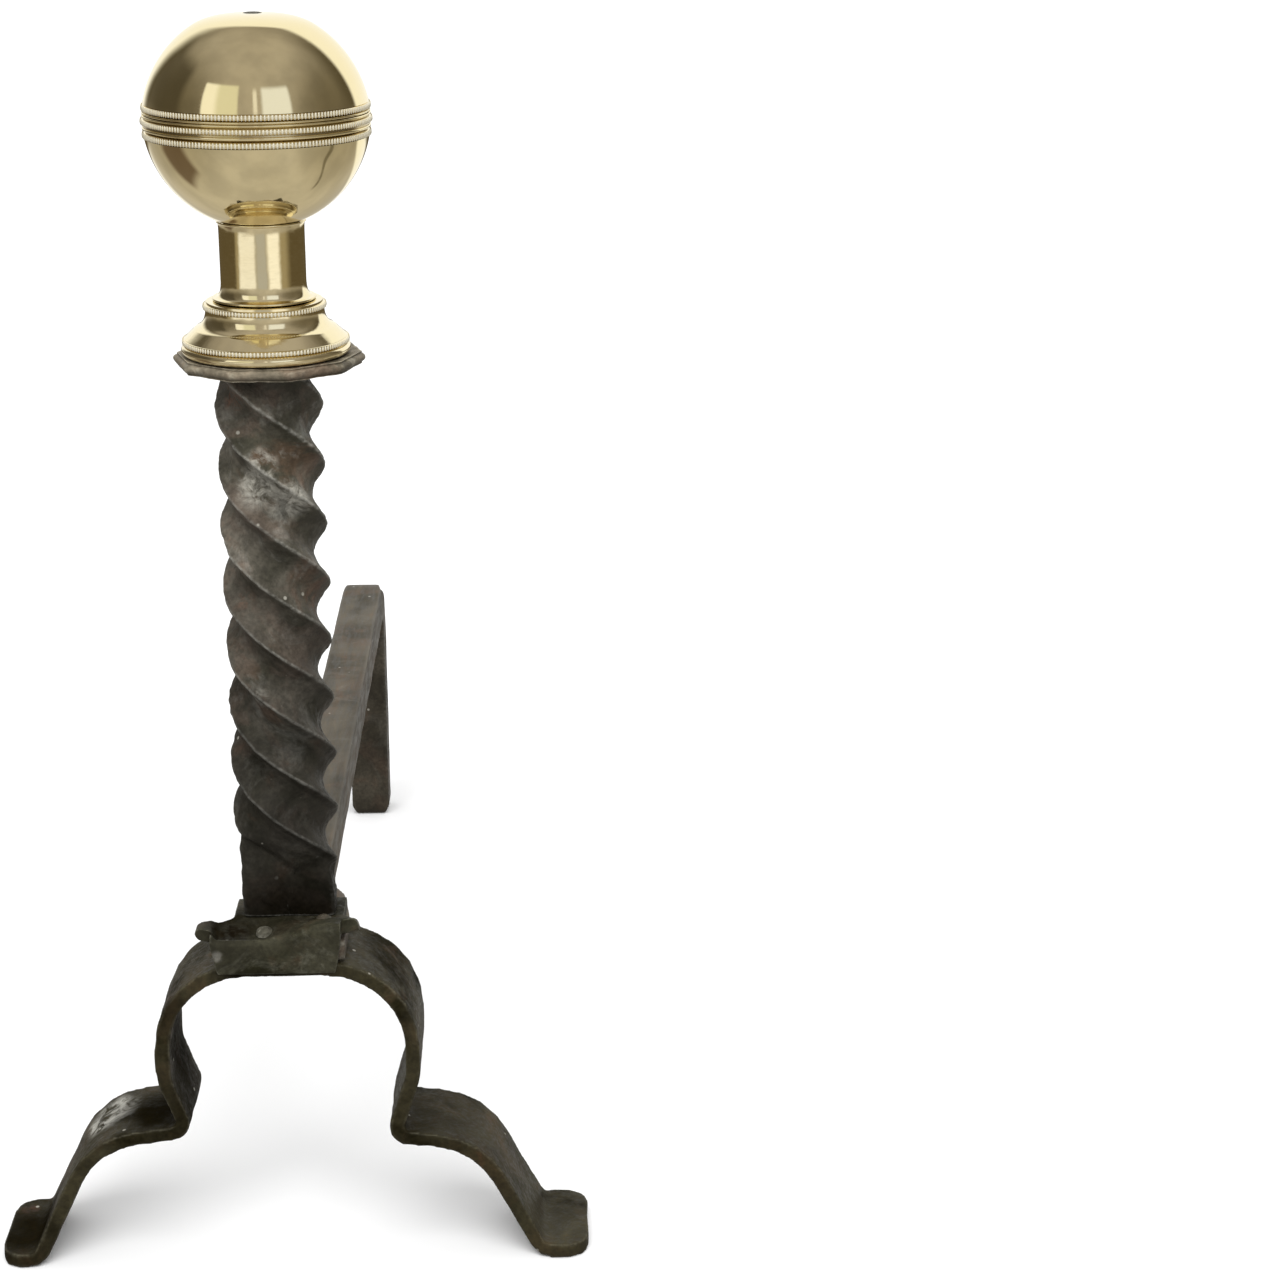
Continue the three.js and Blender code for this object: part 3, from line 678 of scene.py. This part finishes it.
# ------------------------------------------------------------------ brass neck and plinth
def neck(finish):
    low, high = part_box("neck")
    top = (high.z - low.z) / MM
    bore = NECK_WAIST - WALL
    bore_top = top + shell_height(BALL_RADIUS, NECK_TOP) - shell_height(BALL_RADIUS, bore)
    outline = [(bore, 0), (NECK_FOOT - 0.4, 0)]
    outline += arc(NECK_FOOT - NECK_FLANGE / 2, NECK_FLANGE / 2, NECK_FLANGE / 2, -90, 90, 6)
    outline += curve((NECK_FOOT - NECK_FLANGE, NECK_FLANGE), (NECK_WAIST, NECK_FLANGE),
                     (NECK_WAIST, NECK_FLANGE + NECK_SWEEP), 16)
    lip = top - 2 * NECK_LIP
    outline += curve((NECK_WAIST, top - NECK_ROLL), (NECK_WAIST, lip), (NECK_TOP - NECK_LIP, lip), 10)
    outline += arc(NECK_TOP - NECK_LIP, top - NECK_LIP, NECK_LIP, -90, 60, 6)
    outline += [(bore, bore_top)]
    mesh = turned("brass_neck", outline, low.z)
    dress(new_piece("brass_neck", mesh), finish, "polished_brass", "neck")


def plinth(finish, ring_finish):
    low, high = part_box("plinth")
    ledge = (high.z - low.z) / MM - SPIGOT
    half = MOULDING / 2
    spigot = NECK_WAIST - WALL - SEAT
    cove_low = LOWER_RING_HEIGHT + PLINTH_BEAD
    cove_high = UPPER_RING_HEIGHT - PLINTH_BEAD
    lip = LOWER_RING - PLINTH_BEAD
    middle = ((lip + COVE_TOP) / 2, (cove_low + cove_high) / 2 - COVE_SAG)
    outline = [(PLINTH_RADIUS - half - WALL, 0)]
    outline += arc(PLINTH_RADIUS - half, half, half, -90, 90, 16)
    outline += bead(LOWER_RING - TOOTH_PROUD, LOWER_RING_HEIGHT, PLINTH_BEAD)
    outline += curve((lip, cove_low), (lip - COVE_SAG, cove_low + COVE_SAG), middle)
    outline += curve(middle, (COVE_TOP, middle[1] + COVE_SAG), (COVE_TOP, cove_high))[1:]
    outline += bead(UPPER_RING - TOOTH_PROUD, UPPER_RING_HEIGHT, PLINTH_BEAD)
    outline += [(UPPER_RING - PLINTH_BEAD - 0.4, ledge - 0.3), (NECK_FOOT, ledge), (spigot, ledge)]
    outline += [(spigot, ledge + SPIGOT), (ROD_HOLE, ledge + SPIGOT), (ROD_HOLE, ledge - WALL)]
    outline += [(COVE_TOP - WALL, ledge - WALL), (middle[0] - WALL - COVE_SAG, middle[1])]
    outline += [(lip - 2 * WALL, cove_low)]
    mesh = turned("brass_plinth", outline, low.z)
    dress(new_piece("brass_plinth", mesh), finish, "polished_brass", "plinth")
    rings = [(LOWER_RING - TOOTH_PROUD, PLINTH_BEAD, low.z + LOWER_RING_HEIGHT * MM),
             (UPPER_RING - TOOTH_PROUD, PLINTH_BEAD, low.z + UPPER_RING_HEIGHT * MM)]
    mesh = knurled("plinth_knurling", rings, ring_finish)
    dress(new_piece("plinth_knurling", mesh), ring_finish, "polished_brass")


# ------------------------------------------------------------------ forged iron
def hammered(point, dent, spacing):
    """Depth of the shallow round dents that a hammer leaves, at a point."""
    near = noise.voronoi(point / (spacing * MM) + Vector((SEED, 0.0, 0.0)))[0][0]
    return dent * MM * max(0.0, 0.75 - near)


def forged_skin(mesh, dent, spacing, wander):
    """Sinks hammer dents and a slow wander into a mesh, always inwards."""
    moves = []
    for vertex in mesh.vertices:
        slow = (noise.noise(vertex.co / 0.024) + 1) / 2 * wander * MM
        moves.append(vertex.normal * (slow + hammered(vertex.co, dent, spacing)))
    for vertex, move in zip(mesh.vertices, moves):
        vertex.co -= move
        vertex.co.z = max(vertex.co.z, 0.0)


def forged(name, node, voxel, soften, material, slot, dent, spacing, wander, shape=None):
    """A forging on a node's own shape, with softened edges and a hammered skin.

    voxel is the mesh's grain in mm, and soften the rounds of smoothing. dent, spacing and wander, in mm, are
    the depth of the hammer's dents, how far apart they lie and the depth of slow waves. shape moves a point.
    """
    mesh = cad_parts[node].data.copy()
    clean(mesh)
    piece = new_piece(name, mesh)
    remesh = piece.modifiers.new("even mesh", "REMESH")
    remesh.mode = "VOXEL"
    remesh.voxel_size = voxel * MM
    relax = piece.modifiers.new("soft edges", "SMOOTH")
    relax.factor = 0.5
    relax.iterations = soften
    evaluated = piece.evaluated_get(bpy.context.evaluated_depsgraph_get())
    piece.data = bpy.data.meshes.new_from_object(evaluated)
    piece.modifiers.clear()
    piece.data.name = name
    if shape:
        for vertex in piece.data.vertices:
            vertex.co += Vector(shape(vertex.co))
    forged_skin(piece.data, dent, spacing, wander)
    piece.data.shade_smooth()
    dress(piece, material, slot, node)


def ease(value, low, high):
    t = min(1.0, max(0.0, (value - low) / (high - low)))
    return t * t * (3 - 2 * t)


SADDLE_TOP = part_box("saddle")[1].z
BAR_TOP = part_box("billet_bar")[1].z
BAR_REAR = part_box("billet_bar")[1].y


def bar_shape(point):
    """The bar's arrises are drawn in over the rear bend, and the foot's corners are rounded."""
    x = (point.x - AXIS.x) / MM
    over = ease((point.y - BAR_REAR) / MM, -46.0, -12.0) * ease((point.z - BAR_TOP) / MM, -14.0, -2.0)
    pull = (BEND_SPREAD * ease(-x, 2.0, 11.0) - BEND_PULL * ease(x, 2.0, 11.0)) * over
    foot = ease((point.y - BAR_REAR) / MM, -60.0, -40.0) * ease(-point.z / MM, -7.0, 0.0)
    pull += FOOT_ROUND * (ease(-x, 6.0, 12.0) - ease(x, 6.0, 12.0)) * foot
    return (pull * MM, 0.0, 0.0)


def saddle_shape(point):
    """The folded lip stands higher on the right, and the plate is dished on the left."""
    x, y = (point.x - AXIS.x) / MM, (point.y - AXIS.y) / MM
    below = (SADDLE_TOP - point.z) / MM
    front = ease(-y, 11.0, 24.0)
    upper = ease(-below, -13.0, -4.0)
    lift = (LIP_RISE * ease(x, -12.0, 20.0) - LIP_DROP) * front * upper * ease(-abs(x), -36.0, -33.0)
    dish = ease(-y, 6.0, 14.0) * ease(y, -31.0, -25.0) * ease(-x, 4.0, 12.0) * ease(x, -38.0, -33.0)
    lift -= PLATE_DISH * dish * upper
    return (0.0, 0.0, lift * MM)


def cap_plate(iron):
    low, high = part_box("cap_plate")
    middle = (low + high) / 2
    thick = (high.z - low.z) / MM
    reach = (high.x - low.x) / 2 / MM
    side = math.pi / CAP_CORNERS

    def swell(angle):
        return math.cos(side) / math.cos((angle % (2 * side)) - side)

    steps = [reach * k / CAP_RINGS for k in range(3, CAP_RINGS)]
    outline = [(r, 0.0) for r in steps]
    outline += arc(reach - thick / 2.6, thick / 2, thick / 2.6, -80, 80, 12)
    outline += [(r, thick) for r in reversed(steps)]
    mesh = turned("hammered_cap", outline, low.z, swell)
    shift = Vector((middle.x - AXIS.x, middle.y - AXIS.y, 0))
    for vertex in mesh.vertices:
        away = math.hypot(vertex.co.x - AXIS.x, vertex.co.y - AXIS.y) / (reach * MM)
        vertex.co += shift * min(1.0, max(0.0, (away - 0.2) / 0.4))
    forged_skin(mesh, 0.55, 7.0, 0.35)
    mesh.shade_smooth()
    dress(new_piece("hammered_cap", mesh), iron, "cap_iron", "cap_plate")


def rivet(name, node, iron, sink):
    """A rivet with a hammered round head and a flush end. The head follows the shaped plate, sunk by sink."""
    low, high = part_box(node)
    middle = (low + high) / 2
    head = (high.x - low.x) / 2 / MM
    brim = (high.z - low.z) / MM - RIVET_DOME
    outline = [(0.0, 0.0), (RIVET_PEEN, 0.0), (RIVET_SHANK, PEEN_DEPTH), (RIVET_SHANK, brim - RIVET_SEAT)]
    outline += [(head, brim - RIVET_SEAT)]
    outline += [(r, brim + (z - brim) * RIVET_DOME / head) for r, z in arc(0, brim, head, 6, 90, 14)]
    mesh = turned(name, outline, low.z)
    drop = saddle_shape(Vector((middle.x, middle.y, SADDLE_TOP)))[2] - sink * MM
    for vertex in mesh.vertices:
        vertex.co += Vector((middle.x - AXIS.x, middle.y - AXIS.y, 0))
        if vertex.co.z > low.z + (brim - 2.0) * MM:
            vertex.co.z += drop
    forged_skin(mesh, 0.5, 2.5, 0.25)
    mesh.shade_smooth()
    dress(new_piece(name, mesh), iron, "leg_iron", node)


def rod_end(iron):
    """The tie rod, its top end hammered over on the ball."""
    low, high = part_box("tie_rod")
    length = (high.z - low.z) / MM
    outline = [(0.0, 0.0), (ROD_RADIUS, 0.0), (ROD_RADIUS, length - 2.1), (ROD_PEEN, length - 0.6)]
    outline += curve((ROD_PEEN, length - 0.5), (ROD_PEEN - 0.5, length), (0.0, length), 8)
    mesh = turned("tie_rod_peened", outline, low.z)
    forged_skin(mesh, 0.15, 2.0, 0.0)
    dress(new_piece("tie_rod_peened", mesh), iron, "rod_iron", "tie_rod")


# ------------------------------------------------------------------ twisted column
def rounded_square(graph, angle, half_x, half_y, sharpness):
    """Radius, at an angle, of a rectangle with softened corners."""
    along_x = graph.over(graph.math("ABSOLUTE", graph.math("COSINE", angle)), half_x)
    along_y = graph.over(graph.math("ABSOLUTE", graph.math("SINE", angle)), half_y)
    total = graph.plus(graph.math("POWER", along_x, sharpness), graph.math("POWER", along_y, sharpness))
    return graph.math("POWER", total, graph.over(-1.0, sharpness))


def hump(graph, value, middle, spread):
    """1 at the middle, falling off in a bell."""
    away = graph.over(graph.minus(value, middle), spread)
    return graph.math("EXPONENT", graph.times(away, away, -1.0))


def twisted_square(graph, given, angle, height):
    """Radius of the twisted bar: hollow faces, and each ridge drawn up into a lip with a groove beside it."""
    climbed = graph.math("MAXIMUM", height, given["Twist End"])
    quarters = graph.over(graph.minus(given["Ridge Height"], climbed), given["Quarter Twist"])
    ridge = graph.times(quarters, math.pi / 2)
    past = graph.math("WRAP", graph.minus(angle, ridge), math.pi / 4, -math.pi / 4)
    half = graph.times(given["Stock"], 0.5)
    square = rounded_square(graph, graph.plus(past, math.pi / 4), half, half, given["Sharpness"])
    turn = graph.math("SINE", graph.times(past, 2.0))
    square = graph.minus(square, graph.times(given["Hollow"], graph.times(turn, turn)))

    sharp = graph.smooth(height, 60 * MM, 200 * MM, 1.0, 0.45)
    wander = graph.noise(graph.point(past, 0.0, graph.times(height, 60.0)), 1.0, 2.0)
    sharp = graph.times(sharp, graph.smooth(wander, 0.3, 0.6, 0.35, 1.0))
    lip = graph.times(hump(graph, past, 0.0, 0.055), given["Lip"])
    groove = graph.times(hump(graph, past, -0.20, 0.11), given["Groove"])
    return graph.plus(square, graph.times(sharp, graph.minus(lip, groove)))


def heeled(graph, given, angle, height, square):
    """Radius with the heel let in: its flat runs up under the last ridge, higher on the left."""
    width = graph.times(given["Heel Width"], 0.5)
    depth = graph.times(given["Heel Depth"], 0.5)
    heel = rounded_square(graph, angle, width, depth, 12.0)
    top = graph.minus(given["Heel Top"], graph.times(graph.math("COSINE", angle), given["Heel Slant"]))
    rise = graph.over(graph.minus(height, top), given["Heel Blend"])
    twisted = graph.smooth(rise, -0.5, 0.5)
    return graph.plus(graph.times(square, twisted), graph.times(heel, graph.minus(1.0, twisted)))


def beaten(graph, angle, height):
    """Depth of the hammering, as a share of the dent."""
    across = graph.times(graph.math("COSINE", angle), 20 * MM)
    along = graph.times(graph.math("SINE", angle), 20 * MM)
    around = graph.point(across, along, height)
    broad = graph.noise(around, 75.0, 3.0, 0.55, 0.4)
    small = graph.noise(around, 260.0, 3.0, 0.6)
    return graph.plus(graph.smooth(broad, 0.3, 0.7, 1.0, 0.0), graph.times(small, 0.35))


def twist_tree(material):
    """Geometry nodes for a square bar twisted along its length and flattened into a heel at its foot."""
    tree = bpy.data.node_groups.new("twisted bar", "GeometryNodeTree")
    face = tree.interface
    face.new_socket("Geometry", in_out="OUTPUT", socket_type="NodeSocketGeometry")
    face.new_socket("Geometry", in_out="INPUT", socket_type="NodeSocketGeometry")
    sizes = {}
    names = ("Base", "Length", "Stock", "Sharpness", "Hollow", "Quarter Twist", "Ridge Height", "Twist End",
             "Lip", "Groove", "Heel Top", "Heel Slant", "Heel Blend", "Heel Width", "Heel Depth", "Dent")
    for name in names:
        sizes[name] = face.new_socket(name, in_out="INPUT", socket_type="NodeSocketFloat").identifier
    sizes["Axis"] = face.new_socket("Axis", in_out="INPUT", socket_type="NodeSocketVector").identifier

    graph = Graph(tree)
    given = graph.node("NodeGroupInput").outputs
    counts = {"Vertices": 208, "Side Segments": 430, "Fill Segments": 8}
    blank = graph.node("GeometryNodeMeshCylinder", {**counts, "Radius": 1.0, "Depth": given["Length"]},
                       fill_type="TRIANGLE_FAN")
    x, y, z = graph.parts(graph.node("GeometryNodeInputPosition").outputs[0])
    height = graph.plus(z, graph.times(given["Length"], 0.5))
    share = graph.math("SQRT", graph.plus(graph.times(x, x), graph.times(y, y)))
    angle = graph.math("ARCTAN2", y, x)
    radius = heeled(graph, given, angle, height, twisted_square(graph, given, angle, height))
    radius = graph.minus(radius, graph.times(beaten(graph, angle, height), given["Dent"]))

    reach = graph.times(radius, share)
    formed = graph.point(graph.times(reach, graph.math("COSINE", angle)),
                         graph.times(reach, graph.math("SINE", angle)),
                         graph.plus(height, given["Base"]))
    shaped = graph.node("GeometryNodeSetPosition", {"Geometry": blank.outputs["Mesh"],
                                                    "Position": graph.vector("ADD", formed, given["Axis"])})
    smooth = graph.node("GeometryNodeSetShadeSmooth", {"Geometry": shaped.outputs[0]})
    real = graph.node("GeometryNodeRealizeInstances", {"Geometry": smooth.outputs[0]})
    painted = graph.node("GeometryNodeSetMaterial", {"Geometry": real.outputs[0], "Material": material})
    graph.node("NodeGroupOutput", {"Geometry": painted.outputs[0]})
    return tree, sizes


def twisted_column(iron):
    low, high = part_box("twist_column")
    base = SADDLE_TOP + SEAT * MM
    tree, sizes = twist_tree(iron)
    values = {
        "Base": base,
        "Length": high.z - base,
        "Stock": STOCK * MM,
        "Sharpness": math.log(2) / math.log(STOCK / math.sqrt(2) / RIDGE_REACH),
        "Hollow": FACE_HOLLOW * MM,
        "Quarter Twist": QUARTER_TWIST * MM,
        "Ridge Height": RIDGE_HEIGHT * MM,
        "Twist End": (RIDGE_HEIGHT - 8 * QUARTER_TWIST) * MM,
        "Lip": RIDGE_LIP * MM,
        "Groove": RIDGE_GROOVE * MM,
        "Heel Top": HEEL_TOP * MM,
        "Heel Slant": HEEL_SLANT * MM,
        "Heel Blend": HEEL_BLEND * MM,
        "Heel Width": HEEL_WIDTH * MM,
        "Heel Depth": HEEL_DEPTH * MM,
        "Dent": COLUMN_DENT * MM,
        "Axis": (AXIS.x, AXIS.y, 0.0),
    }
    mesh = grown("twisted_column", tree, {sizes[name]: value for name, value in values.items()})
    clean(mesh)
    shade(mesh, 60.0)
    dress(new_piece("twisted_column", mesh), iron, "column_iron", "twist_column")

    depth = (base - low.z) / MM
    outline = [(0.0, 0.0), (TENON_PEEN, 0.0), (TENON, PEEN_DEPTH), (TENON, depth + 2.0), (0.0, depth + 2.0)]
    mesh = turned("column_tenon", outline, low.z)
    dress(new_piece("column_tenon", mesh), iron, "column_iron", "twist_column")


# ------------------------------------------------------------------ studio
FRONT_X = 0.1264  # camera from the column's axis
FRONT_Y = -1.22475
CAMERA_HEIGHT = 0.7104
CAMERA_PITCH = 17.81  # degrees below level
CAMERA_TURN = 2.1  # degrees clockwise from the bar's direction
LENS = 75.94
SENSOR = 36.0
FLOOR_REACH = 20.0
SUN_POWER = 2.4
SUN_SPREAD = 50.0  # width of the light, in degrees
SUN_HEIGHT = 50.0  # above level
SUN_TURN = -2.0  # to the left of the front
# The edge of the white sheet that the ball mirrors: turns round the line of sight (0.5 is to the right, and
# 0.75 is up), and how far the sheet reaches from straight behind, in hundreds of degrees.
SHEET_EDGE = ((0.0, 0.24), (0.22, 0.18), (0.37, 0.17), (0.44, 0.47), (0.50, 0.56), (0.58, 0.64),
              (0.70, 0.66), (0.77, 0.62), (0.83, 0.54), (0.88, 0.44), (0.93, 0.31), (1.0, 0.24))
# The uprights that the neck mirrors, in degrees round the column: low, high, softness and brightness.
UPRIGHTS = ((-66.0, -20.0, 5.0, 1.0), (-18.0, 10.0, 5.0, 0.48), (13.0, 46.0, 6.0, 1.1))


def add_camera():
    data = bpy.data.cameras.new("camera")
    data.lens = LENS
    data.sensor_width = SENSOR
    camera = bpy.data.objects.new("camera", data)
    camera.location = (AXIS.x + FRONT_X, AXIS.y + FRONT_Y, CAMERA_HEIGHT)
    camera.rotation_euler = (math.radians(90 - CAMERA_PITCH), 0, math.radians(-CAMERA_TURN))
    bpy.context.scene.collection.objects.link(camera)
    bpy.context.scene.camera = camera
    return camera


def add_floor():
    mesh = bpy.data.meshes.new("floor")
    reach = FLOOR_REACH
    corners = [(-reach, -reach, 0), (reach, -reach, 0), (reach, reach, 0), (-reach, reach, 0)]
    mesh.from_pydata(corners, [], [(0, 1, 2, 3)])
    floor = new_piece("floor", mesh)
    floor.data.materials.append(floor_paper())
    floor.visible_glossy = False
    floor.visible_diffuse = False


def add_light():
    """One broad soft light from the front and above."""
    data = bpy.data.lights.new("front light", "SUN")
    data.energy = SUN_POWER
    data.angle = math.radians(SUN_SPREAD)
    light = bpy.data.objects.new("front light", data)
    light.rotation_euler = (math.radians(90 - SUN_HEIGHT), 0, math.radians(-SUN_TURN))
    light.visible_glossy = False
    bpy.context.scene.collection.objects.link(light)


class Sight:
    """Directions that the ball mirrors, measured in degrees from the line between the ball and the camera."""

    def __init__(self, graph, camera):
        ball = Vector((AXIS.x, AXIS.y, BALL_MIDDLE))
        ahead = (camera.location - ball).normalized()
        right = Vector((-ahead.y, ahead.x, 0)).normalized()
        level = Vector((ahead.x, ahead.y, 0)).normalized()
        self.way = graph.node("ShaderNodeTexCoord").outputs["Generated"]
        self.near = graph.dot(self.way, tuple(ahead))
        self.side = graph.dot(self.way, tuple(right))
        self.rise = graph.dot(self.way, tuple(ahead.cross(right)))
        self.bearing = graph.degrees(graph.math("ARCTAN2", self.side, self.near))
        self.lift = graph.degrees(graph.math("ARCSINE", self.rise))
        self.azimuth = graph.degrees(graph.math("ARCTAN2", self.side, graph.dot(self.way, tuple(level))))
        self.upward = graph.parts(self.way)[2]


def area(graph, sight, bearing, lift):
    """1 inside an area of the room and 0 outside. Each range is low, high and softness."""
    return graph.times(graph.band(sight.bearing, *bearing), graph.band(sight.lift, *lift))


def mirrored_walls(graph, sight):
    """The walls and the ground, a chest and a screen to the left, and a branch to the right."""
    aside = graph.math("ABSOLUTE", sight.side)
    wall = graph.mix(graph.smooth(aside, 0.35, 1.0), rgb(0.43, 0.40, 0.36), rgb(0.15, 0.13, 0.095))
    ground = graph.mix(graph.smooth(aside, 0.4, 1.0), rgb(0.53, 0.50, 0.45), rgb(0.36, 0.33, 0.27))
    room = graph.mix(graph.smooth(sight.lift, -8.0, 6.0), ground, wall)
    mottle = graph.smooth(graph.noise(sight.way, 2.5, 3.0, 0.5), 0.3, 0.7, 0.9, 1.1)
    room = graph.mix(1.0, room, graph.even(mottle), "MULTIPLY")

    chest = area(graph, sight, (-122.0, -90.0, 5.0), (-44.0, -14.0, 4.0))
    room = graph.mix(graph.times(chest, 0.8), room, rgb(0.09, 0.05, 0.025))
    screen = area(graph, sight, (-165.0, -84.0, 7.0), (4.0, 44.0, 7.0))
    room = graph.mix(graph.times(screen, 0.75), room, rgb(0.055, 0.046, 0.03))
    bend = graph.times(graph.math("SINE", graph.times(sight.lift, 0.21)), 5.0)
    bough = graph.plus(graph.times(sight.lift, -0.9), bend)
    branch = graph.band(graph.minus(sight.bearing, bough), 60.0, 65.0, 1.5)
    branch = graph.times(branch, graph.band(sight.lift, -52.0, -20.0, 3.0))
    return graph.mix(graph.times(branch, 0.7), room, rgb(0.10, 0.085, 0.05))


def mirrored_windows(graph, sight, room):
    """Two windows, and a thin gap of light beside the second."""
    first = area(graph, sight, (-58.0, -19.0, 1.5), (6.5, 36.0, 1.5))
    pane = graph.mix(graph.smooth(sight.bearing, -46.0, -38.0), rgb(1.05, 1.05, 1.0), rgb(0.80, 0.80, 0.66))
    room = graph.mix(first, room, pane)
    second = area(graph, sight, (6.0, 36.0, 2.0), (7.0, 34.0, 3.0))
    room = graph.mix(second, room, rgb(0.90, 0.95, 1.05))
    gap = area(graph, sight, (-3.0, 1.0, 1.0), (8.0, 32.0, 4.0))
    return graph.mix(graph.times(gap, 0.8), room, rgb(1.0, 1.0, 1.0))


def mirrored_sheet(graph, sight, room):
    """The white sheet behind, soft on the left, and a dark border just outside its upper edge."""
    turns = graph.plus(graph.over(graph.math("ARCTAN2", sight.rise, sight.side), math.tau), 0.5)
    reach = graph.times(graph.ramp(turns, *SHEET_EDGE), 100.0)
    inside = graph.minus(reach, graph.degrees(graph.math("ARCCOSINE", graph.times(sight.near, -1.0))))
    across = graph.math("SQRT", graph.minus(1.0, graph.times(sight.near, sight.near)))
    sideways = graph.over(graph.math("ABSOLUTE", sight.side), graph.math("MAXIMUM", across, 0.001))
    border = graph.times(graph.smooth(inside, -26.0, -4.0), graph.smooth(sight.rise, 0.0, 0.2),
                         graph.smooth(sideways, 0.1, 0.8, 0.25, 0.85))
    room = graph.mix(border, room, rgb(0.085, 0.07, 0.042))
    softness = graph.smooth(sight.side, -0.75, 0.1, 14.0, 4.0)
    lit = graph.smooth(graph.over(inside, softness), -1.0, 0.8)
    return graph.mix(lit, room, rgb(1.08, 1.08, 1.04))


def mirrored_uprights(graph, sight, room):
    """Bright and dark uprights, low enough for the neck alone to mirror them."""
    left = graph.smooth(sight.azimuth, -82.0, -72.0, 1.0, 0.0)
    dark_side = graph.plus(left, graph.smooth(sight.azimuth, 58.0, 84.0))
    stripe = graph.mix(dark_side, rgb(0.36, 0.31, 0.20), rgb(0.11, 0.085, 0.045))
    for low, high, soft, light in UPRIGHTS:
        stripe = graph.mix(graph.band(sight.azimuth, low, high, soft), stripe, rgb(light, light, light))
    height = graph.degrees(graph.math("ARCSINE", sight.upward))
    return graph.mix(graph.band(height, -12.5, -5.5, 1.5), room, stripe)


def add_world(camera):
    """A pale studio for shadows and the camera, and the room that the brass mirrors."""
    world = bpy.data.worlds.new("studio")
    world.use_nodes = True
    world.node_tree.nodes.clear()
    bpy.context.scene.world = world
    graph = Graph(world.node_tree)
    sight = Sight(graph, camera)
    room = mirrored_walls(graph, sight)
    room = mirrored_windows(graph, sight, room)
    room = mirrored_sheet(graph, sight, room)
    room = mirrored_uprights(graph, sight, room)

    sky = graph.even(graph.smooth(sight.upward, -0.1, 0.9, 0.26, 0.86))
    path = graph.node("ShaderNodeLightPath").outputs
    seen = graph.mix(path["Is Glossy Ray"], sky, room)
    seen = graph.mix(path["Is Camera Ray"], seen, rgb(1.0, 1.0, 1.0))
    lamp = graph.node("ShaderNodeBackground", {"Color": seen, "Strength": 1.0}).outputs[0]
    graph.node("ShaderNodeOutputWorld", {"Surface": lamp})


# ------------------------------------------------------------------ assembly
def main():
    ball_finish = polished_brass()
    base_finish = yellow_brass()
    ring_finish = knurled_brass()
    rivet_iron = rivet_scale()
    column_iron = column_scale()

    ball_upper(ball_finish)
    ball_lower(ball_finish)
    ball_knurling(ring_finish)
    neck(base_finish)
    plinth(base_finish, ring_finish)
    rod_end(column_iron)
    cap_plate(cap_scale())
    twisted_column(column_iron)
    forged("forged_saddle", "saddle", 0.7, 4, saddle_scale(), "leg_iron", 0.45, 8.0, 0.35, saddle_shape)
    forged("forged_legs", "leg_arch", 1.3, 5, leg_scale(), "leg_iron", 0.7, 14.0, 0.5)
    forged("forged_bar", "billet_bar", 1.5, 3, bar_scale(), "bar_iron", 0.4, 26.0, 0.3, bar_shape)
    rivet("rivet_left", "saddle_rivet_1", rivet_iron, -0.4)
    rivet("rivet_right", "saddle_rivet_2", rivet_iron, 1.6)

    camera = add_camera()
    add_floor()
    add_world(camera)
    add_light()
    bpy.context.scene.view_settings.view_transform = "Standard"


main()
